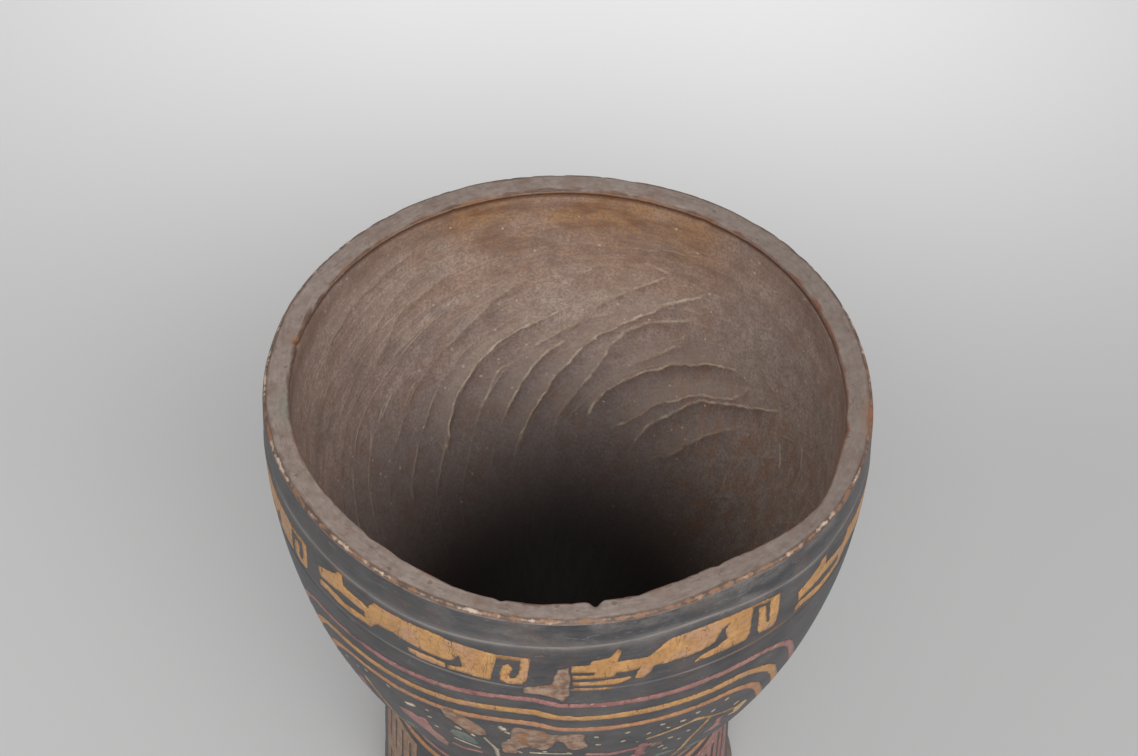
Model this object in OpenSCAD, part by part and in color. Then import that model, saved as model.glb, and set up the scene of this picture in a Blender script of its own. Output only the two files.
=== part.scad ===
// Carved wooden beaker of the kero type: a deep bowl on a stout stem, hollowed from one block.
// Coloured resin pieces are set flush into shallow cells cut in the outside of the wood.
// Origin at the centre of the base, +Z up, front of the cup towards -Y, sizes in millimetres.
// Azimuths are degrees round the cup, 0 at the front and growing to the right of a viewer there.

/* [Cup] */
// Height from the base to the rim
cup_height = 190; // [175:1:220]
// Outer radius at the rim
rim_radius = 85; // [78:0.5:95]
// How much wider than the rim the belly is
belly_bulge = 0.8; // [0:0.1:3]
// Depth of the belly below the rim
belly_drop = 14; // [6:0.5:20]
// Height of the ellipse that shapes the bowl below the belly
bowl_reach = 135; // [125:1:150]
// Radius of the stem where the bowl meets it
stem_radius = 56; // [51:0.5:62]
// Radius of the foot
foot_radius = 59; // [54:0.5:66]
// Width of the blend between bowl and stem
neck_blend = 8; // [3:0.5:14]
// Wall thickness at the rim
rim_wall = 7.5; // [6:0.1:11]
// Depth of the hollow
hollow_depth = 145; // [125:1:155]
// Bevel on the edges of rim and foot
edge_bevel = 1; // [0.4:0.1:2]

/* [Incised lines] */
// Width of each incised line
line_width = 1; // [0.6:0.1:1.6]
// Depth of each incised line
line_depth = 0.5; // [0.3:0.05:0.8]
// Distance from the lip's inner bevel down to the fine line inside it
lip_line_drop = 1.2; // [0.9:0.1:5]

/* [Resin pieces] */
// Depth of the resin in the wood
resin_depth = 0.9; // [0.6:0.05:1.4]
// Gap all round each resin piece in its cell
bed_gap = 0.05; // [0.03:0.01:0.1]

/* [Puma band] */
// Depth of the upper incised line below the rim
band_drop = 10.5; // [6:0.5:16]
// Height of the band between its two incised lines
band_height = 19; // [15:0.5:24]
// Bare wood between a puma and the incised lines
band_margin = 1.4; // [1:0.1:2.5]

/* [Rainbow] */
// Width of each stripe
stripe_width = 3.5; // [2.5:0.1:4.5]
// Distance between stripe centres
stripe_pitch = 7; // [5.5:0.1:8]
// Distance from the puma band to the centre of the first stripe
rainbow_drop = 8; // [5:0.5:12]
// Half the angle that the outer stripe spans before it turns down
rainbow_half_span = 52.5; // [51:0.5:54]
// How much less each inner stripe spans
rainbow_span_step = 3.4; // [3:0.1:3.8]
// Radius of the turn at each end of a stripe
rainbow_turn = 18; // [10:0.5:20]
// Lean of the legs away from upright
rainbow_lean = 23; // [16:1:28]
// Length of the legs past the turn
rainbow_leg = 34; // [20:1:38]

/* [Rain dots] */
// Width of a dot
dot_width = 2; // [1.2:0.1:2.6]
// Height of a dot
dot_height = 1.5; // [1:0.1:2.2]
// Least wood between a dot and a sprig
dot_clearance = 0.4; // [0.3:0.1:1.5]

/* [Flower sprigs] */
// Angle from the middle of a scene to each of its sprigs
sprig_offset = 34; // [32:0.5:36]
// Distance from the last stripe to the sprig's reference level
sprig_drop = 12.5; // [11:0.5:16]
// Height of a sprig
sprig_height = 34; // [30:0.5:36]
// Width of the sprig's stalks
stalk_width = 1.4; // [1:0.1:2]
// Length of a leaf
leaf_length = 9; // [6:0.5:10]
// Width of a leaf
leaf_width = 3.6; // [2:0.1:4]
// Height of a bell flower
bell_height = 12; // [8:0.5:13]
// Width of a bell flower's mouth
bell_width = 9; // [6:0.5:9.5]

/* [Stem panels and bands] */
// Width of a panel
panel_width = 30; // [20:0.5:36]
// Width of the cuts in a panel
slot_width = 1.6; // [1:0.1:2.2]
// Width of the bands at neck and foot
ring_width = 2.8; // [1.5:0.1:3.5]
// Bare wood between neighbouring bands and panels
ring_space = 2.4; // [1.5:0.1:4]
// Distance from the neck down to the first band
neck_band_drop = 3; // [2:0.5:6]
// Height of the first foot band above the base
foot_band_rise = 5; // [3:0.5:8]

/* [Hidden] */
$fn = 96;

wood = "#4a3a33";
ochre = "#c8893f";
red = "#a24a4c";
orange = "#bd7146";
cream = "#cdbb98";
green = "#5a6e5a";

belly_radius = rim_radius + belly_bulge;
mouth_radius = rim_radius - rim_wall;
neck_drop = belly_drop + bowl_reach * sin(acos(stem_radius / belly_radius));
neck_z = cup_height - neck_drop;
band_top_z = cup_height - band_drop;
band_low_z = band_top_z - band_height;
red_z = band_low_z - rainbow_drop;
scene_z = red_z - 2 * stripe_pitch;
sprig_z = scene_z - sprig_drop;

// How far cutting shapes reach past the wood
overcut = 2;
// How far the straight prisms of the resin outlines reach from the axis
prism_reach = max(belly_radius, foot_radius) + overcut;

// Middles of the front and back scenes
scene_azimuths = [-6, 174];
// Where each puma's nose is, and the angle from nose to tail; carved by eye, so not evenly spaced
puma_noses = [-52, 1.5, 44.5, 101, 154.5, 207.5, 260.5];
puma_spans = [46.5, 39.5, 50, 46, 46, 46, 46];
// Where each panel of the stem is
panel_azimuths = [-60, 0, 60, 120, 180, 240];

// Outside of the wood

// Radius of bowl and stem at a depth below the rim
function bowl_r(drop) = drop < belly_drop
    ? rim_radius + belly_bulge * drop / belly_drop
    : belly_radius * sqrt(max(0, 1 - pow((drop - belly_drop) / bowl_reach, 2)));
function stem_r(drop) = stem_radius
    + (foot_radius - stem_radius) * max(0, drop - neck_drop) / (cup_height - neck_drop);
// The larger of two radii, rounded where they are within the blend of each other
function blended(a, b) = max(a, b) + pow(max(0, neck_blend - abs(a - b)), 2) / (4 * neck_blend);
function outer_at(drop) = blended(bowl_r(drop), stem_r(drop));

// Depths at which the outline has a corner: straight over the puma band, then steps of a curve
bowl_steps = 10;
neck_steps = 9;
neck_zone = 1.75 * neck_blend;
bowl_top = band_drop + band_height;
bowl_run = neck_drop - neck_zone - bowl_top;
outer_drops = concat(
    [0, band_drop],
    [for (i = [0 : bowl_steps]) bowl_top + bowl_run * i / bowl_steps],
    [for (i = [1 : neck_steps]) neck_drop - neck_zone + 2 * neck_zone * i / neck_steps],
    [cup_height]
);
outline_count = len(outer_drops);
outer_profile = [
    for (i = [outline_count - 1 : -1 : 0])
        [cup_height - outer_drops[i], outer_at(outer_drops[i])]
];
function outer_r(z) = lookup(z, outer_profile);
function corners_between(low, high) = [for (p = outer_profile) if (p[0] > low && p[0] < high) p[0]];
// Lean of the wall at a height, positive where the cup widens upwards
function wall_lean(z) = atan2(outer_r(z + 1) - outer_r(z - 1), 2);

// Inside of the wood: half an ellipse from mouth to floor
hollow_steps = 16;
function hollow_r(drop) = mouth_radius * sqrt(1 - pow(drop / hollow_depth, 2));
hollow_drops = [for (i = [1 : hollow_steps - 1]) hollow_depth * sin(90 * i / hollow_steps)];

module turned_form() {
    rim_bevel_z = cup_height - edge_bevel;
    outside = [for (z = corners_between(edge_bevel, rim_bevel_z)) [outer_r(z), z]];
    inside = [for (drop = hollow_drops) if (drop > edge_bevel) [hollow_r(drop), cup_height - drop]];
    rotate_extrude()
        polygon(concat(
            [[0, 0], [foot_radius - edge_bevel, 0], [foot_radius, edge_bevel]],
            outside,
            [[rim_radius, rim_bevel_z], [rim_radius - edge_bevel, cup_height]],
            [[mouth_radius + edge_bevel, cup_height], [mouth_radius, rim_bevel_z]],
            inside,
            [[0, cup_height - hollow_depth]]
        ));
}

// A layer of the outer wall between two heights, from under the surface to over it
module skin(low, high, under, over) {
    heights = concat([low], corners_between(low, high), [high]);
    last = len(heights) - 1;
    rotate_extrude()
        polygon(concat(
            [for (z = heights) [outer_r(z) + over, z]],
            [for (i = [last : -1 : 0]) [outer_r(heights[i]) - under, heights[i]]]
        ));
}

// Resin and its cell share one flat outline, drawn with x along the wall and y as height.
// grow is 0 for the resin and the bed gap for the cell.
module grown(grow) {
    if (grow == 0) children();
    else offset(delta = grow) children();
}

module facing(azimuth) {
    rotate([0, 0, azimuth]) rotate([90, 0, 0]) linear_extrude(prism_reach) children();
}

// The wall's layer under an outline: the resin itself, or its cell with the gap and an open top
module inlaid(low, high, grow) {
    intersection() {
        skin(low, high, resin_depth + grow, grow == 0 ? 0 : overcut);
        children();
    }
}

// Strips of even width along a path

function unit(v) = v / norm(v);
function left_of(v) = [-v[1], v[0]];
function heading(path, i) = unit(path[i + 1] - path[i]);
// Sideways step at a corner of a path that keeps the strip's width through the corner
function mitre(path, i) = let(
        before = heading(path, max(0, i - 1)),
        after = heading(path, min(len(path) - 2, i))
    ) (left_of(before) + left_of(after)) / (1 + before * after);
function strip(path, width) = concat(
    [for (i = [0 : len(path) - 1]) path[i] + mitre(path, i) * width / 2],
    [for (i = [len(path) - 1 : -1 : 0]) path[i] - mitre(path, i) * width / 2]
);

// Incised lines

module ring_groove(z) {
    skin(z - line_width / 2, z + line_width / 2, line_depth, overcut);
}

module lip_groove() {
    drop = edge_bevel + lip_line_drop;
    rotate_extrude()
        translate([hollow_r(drop) - overcut, cup_height - drop - line_width / 2])
            square([overcut + line_depth, line_width]);
}

// Pumas: nose at the left, squared tail at the right, on a field one unit long and one unit high
puma_figure = [
    [0.00, 0.62], [0.095, 0.63], [0.11, 0.71], [0.185, 0.73], [0.215, 0.95], [0.24, 0.97], [0.235, 0.68],
    [0.37, 0.65], [0.445, 0.94], [1.00, 0.96], [0.985, 0.14], [0.965, 0.04], [0.905, 0.04], [0.895, 0.12],
    [0.895, 0.70], [0.935, 0.72], [0.94, 0.24], [0.957, 0.24], [0.965, 0.84], [0.865, 0.84], [0.855, 0.03],
    [0.60, 0.03], [0.595, 0.16], [0.735, 0.18], [0.75, 0.34], [0.775, 0.57], [0.735, 0.47], [0.705, 0.26],
    [0.60, 0.25], [0.39, 0.34], [0.375, 0.29], [0.355, 0.17], [0.315, 0.17], [0.32, 0.27], [0.335, 0.38],
    [0.235, 0.39], [0.215, 0.33], [0.11, 0.33], [0.00, 0.33], [0.00, 0.42], [0.105, 0.43], [0.105, 0.48],
    [0.00, 0.48]
];
puma_paw = [[0.00, 0.17], [0.285, 0.18], [0.295, 0.27], [0.19, 0.27], [0.00, 0.26]];
puma_claw = [[0.00, 0.03], [0.19, 0.03], [0.21, 0.11], [0.00, 0.11]];
puma_low_z = band_low_z + band_margin;
puma_height = band_height - 2 * band_margin;
band_radius = outer_r((band_top_z + band_low_z) / 2);

function on_band(figure, span) = [
    for (p = figure) [band_radius * sin((p[0] - 0.5) * span), puma_low_z + p[1] * puma_height]
];

module puma_set(i, grow) {
    inlaid(band_low_z, band_top_z, grow)
        facing(puma_noses[i] + puma_spans[i] / 2)
            grown(grow)
                for (figure = [puma_figure, puma_paw, puma_claw])
                    polygon(on_band(figure, puma_spans[i]));
}

// Rainbows: three stripes over each scene, level across the top and leaning outwards down the sides
turn_steps = 8;
turn_angle = 90 - rainbow_lean;
turn_tangent = rainbow_turn * tan(turn_angle / 2);
// How far the leg's level end runs back into the arch
leg_lead = stripe_width;
// How much the arch overlaps the leg's edges above and below where the two join
leg_shoulder = 0.1;

function stripe_z(k) = red_z - k * stripe_pitch;
function stripe_half_span(k) = rainbow_half_span - k * rainbow_span_step;
// Path of a right leg in the wall's flat frame at the stripe's end
function leg_path(k) = let(
        z = stripe_z(k),
        down = [sin(rainbow_lean), -cos(rainbow_lean)]
    ) concat(
        [[-turn_tangent - leg_lead, z]],
        [for (i = [0 : turn_steps])
            let(a = turn_angle * i / turn_steps)
            [-turn_tangent + rainbow_turn * sin(a), z - rainbow_turn * (1 - cos(a))]],
        [[0, z] + down * (turn_tangent + rainbow_leg)]
    );

module stripe_arch(k, grow) {
    z = stripe_z(k);
    back = asin((turn_tangent + leg_lead / 2) / outer_r(z));
    sweep = 2 * (stripe_half_span(k) - back);
    half = stripe_width / 2 + grow;
    rotate([0, 0, -90 - sweep / 2])
        rotate_extrude(angle = sweep)
            translate([0, z - half])
                square([prism_reach, 2 * half]);
}

module stripe_leg(k, grow) {
    facing(stripe_half_span(k))
        grown(grow)
            polygon(strip(leg_path(k), stripe_width - 2 * leg_shoulder));
}

module stripe_set(scene, k, grow) {
    low = stripe_z(k) - turn_tangent - rainbow_leg - stripe_width;
    inlaid(low, band_low_z, grow)
        rotate([0, 0, scene_azimuths[scene]]) {
            stripe_arch(k, grow);
            stripe_leg(k, grow);
            mirror([1, 0, 0]) stripe_leg(k, grow);
        }
}

// Flower sprigs: a forked stalk, bell flowers and leaves, drawn round a reference point on the wall.
// Places on a sprig are parts of its height, with x pointing away from the middle of the scene.
main_stalk = sprig_height * [[0, -0.90], [0.03, -0.37], [0.15, -0.01]];
upper_stalk = sprig_height * [[-0.42, 0], [0, 0.09], [0.15, 0], [0.40, -0.12]];
bell_tops = sprig_height * [[0.28, -0.15], [-0.44, -0.09]];
leaf_feet = sprig_height * [[0.05, -0.73], [-0.03, -0.59], [-0.68, -0.09]];
leaf_angles = [-10, 170, 217];
// How many of the leaves a sprig has: the outermost one is on left sprigs only
function leaf_count(side) = side < 0 ? 3 : 2;
// Each sprig's azimuth and the side that it turns to: two in each scene, and one between the scenes
function scene_sprigs(middle) = [[middle - sprig_offset, -1], [middle + sprig_offset, 1]];
side_sprigs = [for (middle = scene_azimuths) [middle + 90, 1]];
sprig_groups = [scene_sprigs(scene_azimuths[0]), scene_sprigs(scene_azimuths[1]), side_sprigs];

// A bell with its stalk end at the origin and three points to its mouth
bell_outline = let(h = bell_height, w = bell_width / 2) [
    [-0.28 * w, 0], [0.28 * w, 0], [0.38 * w, -0.62 * h], [w, -0.95 * h], [0.36 * w, -0.84 * h],
    [0, -h], [-0.36 * w, -0.84 * h], [-w, -0.95 * h], [-0.38 * w, -0.62 * h]
];
// A leaf from its foot at the origin to its tip along x
leaf_steps = 4;
leaf_outline = concat(
    [for (i = [0 : leaf_steps])
        [leaf_length * i / leaf_steps, leaf_width / 2 * sin(180 * i / leaf_steps)]],
    [for (i = [leaf_steps - 1 : -1 : 1])
        [leaf_length * i / leaf_steps, -leaf_width / 2 * sin(180 * i / leaf_steps)]]
);

module stalk_outlines() {
    polygon(strip(main_stalk, stalk_width));
    polygon(strip(upper_stalk, stalk_width));
}

module bell_outlines() {
    for (top = bell_tops)
        translate(top) polygon(bell_outline);
}

// $side is the side that the sprig turns to
module leaf_outlines() {
    for (i = [0 : leaf_count($side) - 1])
        translate(leaf_feet[i]) rotate(leaf_angles[i]) polygon(leaf_outline);
}

// The outlines given as children, set into the wall on every sprig of a group
module sprig_set(group, grow) {
    inlaid(sprig_z - sprig_height, scene_z - stripe_width, grow)
        for (sprig = sprig_groups[group])
            facing(sprig[0])
                grown(grow)
                    translate([0, sprig_z])
                        mirror([sprig[1] < 0 ? 1 : 0, 0]) {
                            $side = sprig[1];
                            children();
                        }
}

// Rain dots: small blocks under the rainbow, strewn by hand.
// Each is an angle from the scene's middle and a distance below the last stripe.
dots_by_hand = [
    [13, 5.5], [13.5, 11], [18.5, 10.5], [19, 5], [21.5, 13], [23.5, 8.5], [26, 4.5], [27.5, 8],
    [30.5, 6.5], [33.5, 4.5], [37.5, 8.5], [40, 4.5], [44, 13], [33, 16.5], [29, 17], [31.5, 21],
    [27.5, 22.5], [29, 26], [44.5, 21.5], [5.8, 5.2], [8, 17], [3, 16.5], [-2, 19], [-5, 4.5],
    [-4, 10.5], [-7, 20], [-11.5, 13.5], [-21, 7.5], [-21, 12], [-20, 17.5], [-30, 5.5], [-36, 6],
    [-39, 8.5], [-43, 10], [-29, 18], [-33, 16.5], [-46, 21]
];

// Discs that cover a sprig, each a centre and a radius
function discs_along(start, end, radius) = let(n = ceil(norm(end - start) / radius)) [
    for (i = [0 : n]) [start + (end - start) * i / n, radius]
];
function stalk_discs(path) = [
    for (i = [0 : len(path) - 2]) each discs_along(path[i], path[i + 1], stalk_width / 2)
];
function bell_discs(top) = [
    for (side = [-0.5, 0, 0.5])
        each discs_along(top, top + [side * bell_width, -bell_height], bell_width / 8)
];
function leaf_discs(i) = let(along = leaf_length * [cos(leaf_angles[i]), sin(leaf_angles[i])])
    discs_along(leaf_feet[i], leaf_feet[i] + along, leaf_width / 2);
function sprig_discs(side) = concat(
    stalk_discs(main_stalk),
    stalk_discs(upper_stalk),
    [for (top = bell_tops) each bell_discs(top)],
    [for (i = [0 : leaf_count(side) - 1]) each leaf_discs(i)]
);
left_discs = sprig_discs(-1);
right_discs = sprig_discs(1);

function dot_z(place) = scene_z - place[1];
// A dot's place in the flat frame of the sprig on its own side
function in_sprig_frame(place) = [
    outer_r(dot_z(place)) * sin(abs(place[0]) - sprig_offset), dot_z(place) - sprig_z
];
function room_at(place) = let(p = in_sprig_frame(place))
    min([for (disc = place[0] < 0 ? left_discs : right_discs) norm(p - disc[0]) - disc[1]]);
dot_places = [for (place = dots_by_hand) if (room_at(place) > dot_width / 2 + dot_clearance) place];

module dot_block(place, grow) {
    z = dot_z(place);
    thick = resin_depth + grow + (grow == 0 ? 0 : overcut);
    rotate([0, 0, place[0]])
        translate([0, -outer_r(z), z])
            rotate([wall_lean(z), 0, 0])
                translate([0, resin_depth + grow - thick / 2, 0])
                    cube([dot_width + 2 * grow, thick, dot_height + 2 * grow], center = true);
}

module dot_set(scene, grow) {
    rotate([0, 0, scene_azimuths[scene]])
        for (place = dot_places)
            dot_block(place, grow);
}

// Bands at neck and foot, and the panels between them
band_step = ring_width + ring_space;
neck_band_z = neck_z - neck_band_drop - ring_width / 2;
foot_band_z = foot_band_rise + ring_width / 2;
panel_top_z = neck_band_z - band_step - ring_width / 2 - ring_space;
panel_low_z = foot_band_z + band_step + ring_width / 2 + ring_space;
panel_height = panel_top_z - panel_low_z;

module ring_set(z, grow) {
    half = ring_width / 2 + grow;
    skin(z - half, z + half, resin_depth + grow, grow == 0 ? 0 : overcut);
}

// Cuts that leave the wood standing in a panel, about the panel's middle
cut_gap = panel_width / 6;
cut_height = panel_height / 3;

module upright_cuts() {
    for (row = [-1, 1], column = [-2 : 2])
        translate([column * cut_gap, row * panel_height / 4])
            square([slot_width, cut_height], center = true);
}

module slanted_cuts() {
    for (column = [-1.5 : 1 : 1.5])
        polygon(strip(
            [[(column - 0.5) * cut_gap, -cut_height], [(column + 0.5) * cut_gap, cut_height]],
            slot_width
        ));
}

// A stepped diamond, smaller all round by an inset
module stepped_diamond(inset) {
    steps = 3;
    for (i = [1 : steps])
        square([
            4 * cut_gap * i / steps - 2 * inset,
            2 * cut_height * (steps + 1 - i) / steps - 2 * inset
        ], center = true);
}

module stepped_cut() {
    difference() {
        stepped_diamond(0);
        stepped_diamond(slot_width);
    }
}

module panel_outline(i) {
    kind = i % 3;
    translate([0, (panel_top_z + panel_low_z) / 2])
        difference() {
            square([panel_width, panel_height], center = true);
            if (kind == 0) upright_cuts();
            if (kind == 1) stepped_cut();
            if (kind == 2) slanted_cuts();
        }
}

module panel_set(i, grow) {
    inlaid(panel_low_z - ring_space / 2, panel_top_z + ring_space / 2, grow)
        facing(panel_azimuths[i])
            grown(grow) panel_outline(i);
}

// The wood itself, with a cell for every resin piece
module cup_body() {
    color(wood)
    difference() {
        turned_form();
        ring_groove(band_top_z);
        ring_groove(band_low_z);
        lip_groove();
        for (i = [0 : len(puma_noses) - 1]) puma_set(i, bed_gap);
        for (scene = [0, 1]) {
            for (k = [0 : 2]) stripe_set(scene, k, bed_gap);
            dot_set(scene, bed_gap);
        }
        for (group = [0 : len(sprig_groups) - 1]) {
            sprig_set(group, bed_gap) stalk_outlines();
            sprig_set(group, bed_gap) bell_outlines();
            sprig_set(group, bed_gap) leaf_outlines();
        }
        for (i = [0 : len(panel_azimuths) - 1]) panel_set(i, bed_gap);
        for (step = [0, 1]) {
            ring_set(neck_band_z - step * band_step, bed_gap);
            ring_set(foot_band_z + step * band_step, bed_gap);
        }
    }
}

module puma(i) { color(ochre) puma_set(i, 0); }
module rainbow_stripe(scene, k) { color([red, ochre, orange][k]) stripe_set(scene, k, 0); }
module rain_dots(scene) { color(cream) dot_set(scene, 0); }
module stalks(group) { color(ochre) sprig_set(group, 0) stalk_outlines(); }
module bell_flowers(group) { color(red) sprig_set(group, 0) bell_outlines(); }
module leaves(group) { color(green) sprig_set(group, 0) leaf_outlines(); }
module panel(i) { color([ochre, green, red][i % 3]) panel_set(i, 0); }
module neck_band(step) { color([red, orange][step]) ring_set(neck_band_z - step * band_step, 0); }
module foot_band(step) { color([ochre, red][step]) ring_set(foot_band_z + step * band_step, 0); }

places = ["front", "back", "side"];
stripe_names = ["red", "yellow", "orange"];
neck_band_names = ["red", "orange"];
foot_band_names = ["ochre", "red"];

cup_body();
for (i = [0 : len(puma_noses) - 1])
    puma(i);
for (scene = [0, 1], k = [0 : 2])
    rainbow_stripe(scene, k);
for (scene = [0, 1])
    rain_dots(scene);
for (group = [0 : len(sprig_groups) - 1]) {
    stalks(group);
    bell_flowers(group);
    leaves(group);
}
for (i = [0 : len(panel_azimuths) - 1])
    panel(i);
for (step = [0, 1]) {
    neck_band(step);
    foot_band(step);
}
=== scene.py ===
"""Looks of the carved beaker: worn dark wood with flush resin pictures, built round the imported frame.

Azimuths are degrees round the cup, 0 at the front and growing to the right of a viewer there.
Sizes on the cup are millimetres, and MM turns them into the frame's metres.
"""
import math

import bpy
import numpy as np
from mathutils import Matrix, Vector
from mathutils.geometry import delaunay_2d_cdt


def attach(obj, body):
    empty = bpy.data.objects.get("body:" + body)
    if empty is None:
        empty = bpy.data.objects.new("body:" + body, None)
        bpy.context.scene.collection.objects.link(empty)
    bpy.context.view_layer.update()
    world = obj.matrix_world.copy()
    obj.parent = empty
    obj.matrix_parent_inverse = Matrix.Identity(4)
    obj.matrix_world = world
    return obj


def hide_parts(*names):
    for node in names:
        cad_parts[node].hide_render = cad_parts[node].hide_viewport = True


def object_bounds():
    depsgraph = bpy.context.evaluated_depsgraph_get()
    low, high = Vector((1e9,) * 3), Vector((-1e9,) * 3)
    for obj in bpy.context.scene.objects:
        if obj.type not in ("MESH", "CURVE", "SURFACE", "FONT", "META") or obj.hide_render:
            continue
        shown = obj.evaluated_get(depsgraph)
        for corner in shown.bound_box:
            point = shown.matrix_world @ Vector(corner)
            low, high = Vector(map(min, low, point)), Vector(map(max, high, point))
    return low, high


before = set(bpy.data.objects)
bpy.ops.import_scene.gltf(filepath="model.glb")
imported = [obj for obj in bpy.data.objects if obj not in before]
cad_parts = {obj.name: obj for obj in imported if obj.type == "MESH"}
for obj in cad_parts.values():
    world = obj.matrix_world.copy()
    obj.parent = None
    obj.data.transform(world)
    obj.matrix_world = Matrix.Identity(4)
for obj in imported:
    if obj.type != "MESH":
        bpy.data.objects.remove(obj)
cad_low, cad_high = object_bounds()

MM = 0.001
TURN = 360.0

# The cup, as in the part's source
CUP_HEIGHT = cad_high.z / MM
RIM_RADIUS = 85.0
BELLY_BULGE = 0.8
BELLY_DROP = 14.0
BOWL_REACH = 135.0
STEM_RADIUS = 56.0
FOOT_RADIUS = 59.0
NECK_BLEND = 8.0
RIM_WALL = 7.5
HOLLOW_DEPTH = 145.0
EDGE_BEVEL = 1.0
BELLY_RADIUS = RIM_RADIUS + BELLY_BULGE
MOUTH_RADIUS = RIM_RADIUS - RIM_WALL
NECK_DROP = BELLY_DROP + BOWL_REACH * math.sqrt(1 - (STEM_RADIUS / BELLY_RADIUS) ** 2)
NECK_Z = CUP_HEIGHT - NECK_DROP

# The pictures, as in the part's source
BAND_DROP = 10.5
BAND_HEIGHT = 19.0
BAND_MARGIN = 1.4
STRIPE_PITCH = 7.0
RAINBOW_DROP = 8.0
RAINBOW_HALF_SPAN = 52.5
RAINBOW_SPAN_STEP = 3.4
RAINBOW_TURN = 18.0
RAINBOW_LEAN = 23.0
RAINBOW_LEG = 34.0
DOT_WIDTH = 2.0
DOT_HEIGHT = 1.5
SPRIG_OFFSET = 34.0
SPRIG_DROP = 12.5
SPRIG_HEIGHT = 34.0
STALK_WIDTH = 1.4
LEAF_LENGTH = 9.0
LEAF_WIDTH = 3.6
BELL_HEIGHT = 12.0
BELL_WIDTH = 9.0
PANEL_WIDTH = 30.0
SLOT_WIDTH = 1.6
RING_WIDTH = 2.8
RING_SPACE = 2.4
NECK_RING_DROP = 3.0
FOOT_RING_RISE = 5.0
SCENE_AZIMUTHS = (-6.0, 174.0)
BAND_TOP_Z = CUP_HEIGHT - BAND_DROP
BAND_LOW_Z = BAND_TOP_Z - BAND_HEIGHT
RED_Z = BAND_LOW_Z - RAINBOW_DROP
SCENE_Z = RED_Z - 2 * STRIPE_PITCH
SPRIG_Z = SCENE_Z - SPRIG_DROP
RING_STEP = RING_WIDTH + RING_SPACE
NECK_RING_Z = NECK_Z - NECK_RING_DROP - RING_WIDTH / 2
FOOT_RING_Z = FOOT_RING_RISE + RING_WIDTH / 2
PANEL_TOP_Z = NECK_RING_Z - RING_STEP - RING_WIDTH / 2 - RING_SPACE
PANEL_LOW_Z = FOOT_RING_Z + RING_STEP + RING_WIDTH / 2 + RING_SPACE


# Noise and outlines

def lattice(i, j, seed):
    """A fixed number from 0 to 1 for each point of a grid: the fraction of a large sine."""
    return np.abs(np.sin(i * 127.1 + j * 311.7 + seed * 74.7) * 43758.5453) % 1.0


def wander(u, v, seed, around=None):
    """Smooth noise from -1 to 1 with bumps one unit apart; around is how many units of u close a circle."""
    i, j = np.floor(u), np.floor(v)
    a, b = u - i, v - j
    a, b = a * a * (3 - 2 * a), b * b * (3 - 2 * b)
    right = i + 1
    if around:
        i, right = i % around, right % around
    low = lattice(i, j, seed) * (1 - a) + lattice(right, j, seed) * a
    high = lattice(i, j + 1, seed) * (1 - a) + lattice(right, j + 1, seed) * a
    return 2 * (low * (1 - b) + high * b) - 1


def round_wander(azimuth, along, bumps, pitch, seed):
    """Noise that closes round the cup, with so many bumps in a turn and one bump for each pitch of height."""
    return wander(azimuth / TURN * bumps, along / pitch, seed, bumps)


def uneven(azimuth, along, layers):
    """Noises laid over each other, each with its amount, bumps in a turn, pitch and seed."""
    return sum(amount * round_wander(azimuth, along, *layer) for amount, *layer in layers)


def between(value, low, high):
    """0 at low and 1 at high, smooth between them."""
    share = np.clip((value - low) / (high - low), 0, 1)
    return share * share * (3 - 2 * share)


def hump(value, middle, width):
    """1 at the middle, falling away smoothly on both sides of it."""
    return np.exp(-((value - middle) / width) ** 2)


def apart(a, b):
    """Degrees from azimuth b to azimuth a, the short way round."""
    return (a - b + TURN / 2) % TURN - TURN / 2


def from_segment(start, end, x, z):
    """Where a straight line comes nearest to each point, as a share of it, and the steps from there."""
    along_x, along_z = end[0] - start[0], end[1] - start[1]
    from_x, from_z = x - start[0], z - start[1]
    share = np.clip((from_x * along_x + from_z * along_z) / (along_x ** 2 + along_z ** 2), 0, 1)
    return share, from_x - share * along_x, from_z - share * along_z


def path_distance(path, x, z):
    """Distance to an open path."""
    nearest = np.full(x.shape, np.inf)
    for start, end in zip(path[:-1], path[1:]):
        _, off_x, off_z = from_segment(start, end, x, z)
        nearest = np.minimum(nearest, np.hypot(off_x, off_z))
    return nearest


def outline_distance(outline, x, z):
    """Distance to a closed outline, negative inside it."""
    nearest = path_distance([*outline, outline[0]], x, z)
    inside = np.zeros(x.shape, bool)
    for (x0, z0), (x1, z1) in zip(outline, np.roll(outline, -1, 0)):
        if z0 != z1:
            crossing = x0 + (x1 - x0) * (z - z0) / (z1 - z0)
            inside ^= ((z0 > z) != (z1 > z)) & (x < crossing)
    return np.where(inside, -nearest, nearest)


# Shape of the wood

def bowl_radius(drop):
    """Straight over the pumas, then part of an ellipse."""
    flare = RIM_RADIUS + BELLY_BULGE * drop / BELLY_DROP
    bowl = BELLY_RADIUS * np.sqrt(np.maximum(0, 1 - ((drop - BELLY_DROP) / BOWL_REACH) ** 2))
    return np.where(drop < BELLY_DROP, flare, bowl)


def stem_radius(drop):
    return STEM_RADIUS + (FOOT_RADIUS - STEM_RADIUS) * np.maximum(0, drop - NECK_DROP) / NECK_Z


def outer_radius(z):
    """Radius of the outside at a height, rounded where bowl and stem meet."""
    drop = CUP_HEIGHT - np.asarray(z, float)
    bowl, stem = bowl_radius(drop), stem_radius(drop)
    near = np.maximum(0, NECK_BLEND - np.abs(bowl - stem))
    return np.maximum(bowl, stem) + near ** 2 / (4 * NECK_BLEND)


# How the hand carving departs from a circle: azimuth, half width in degrees and amount of each swell
SWELL_FADE = 55.0
MOUTH_SWELLS = [
    (-13.0, 19.0, 2.5), (29.5, 12.0, -1.8), (56.0, 11.0, 2.0), (100.0, 24.0, -1.5), (-68.0, 14.0, 0.7),
]
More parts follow.
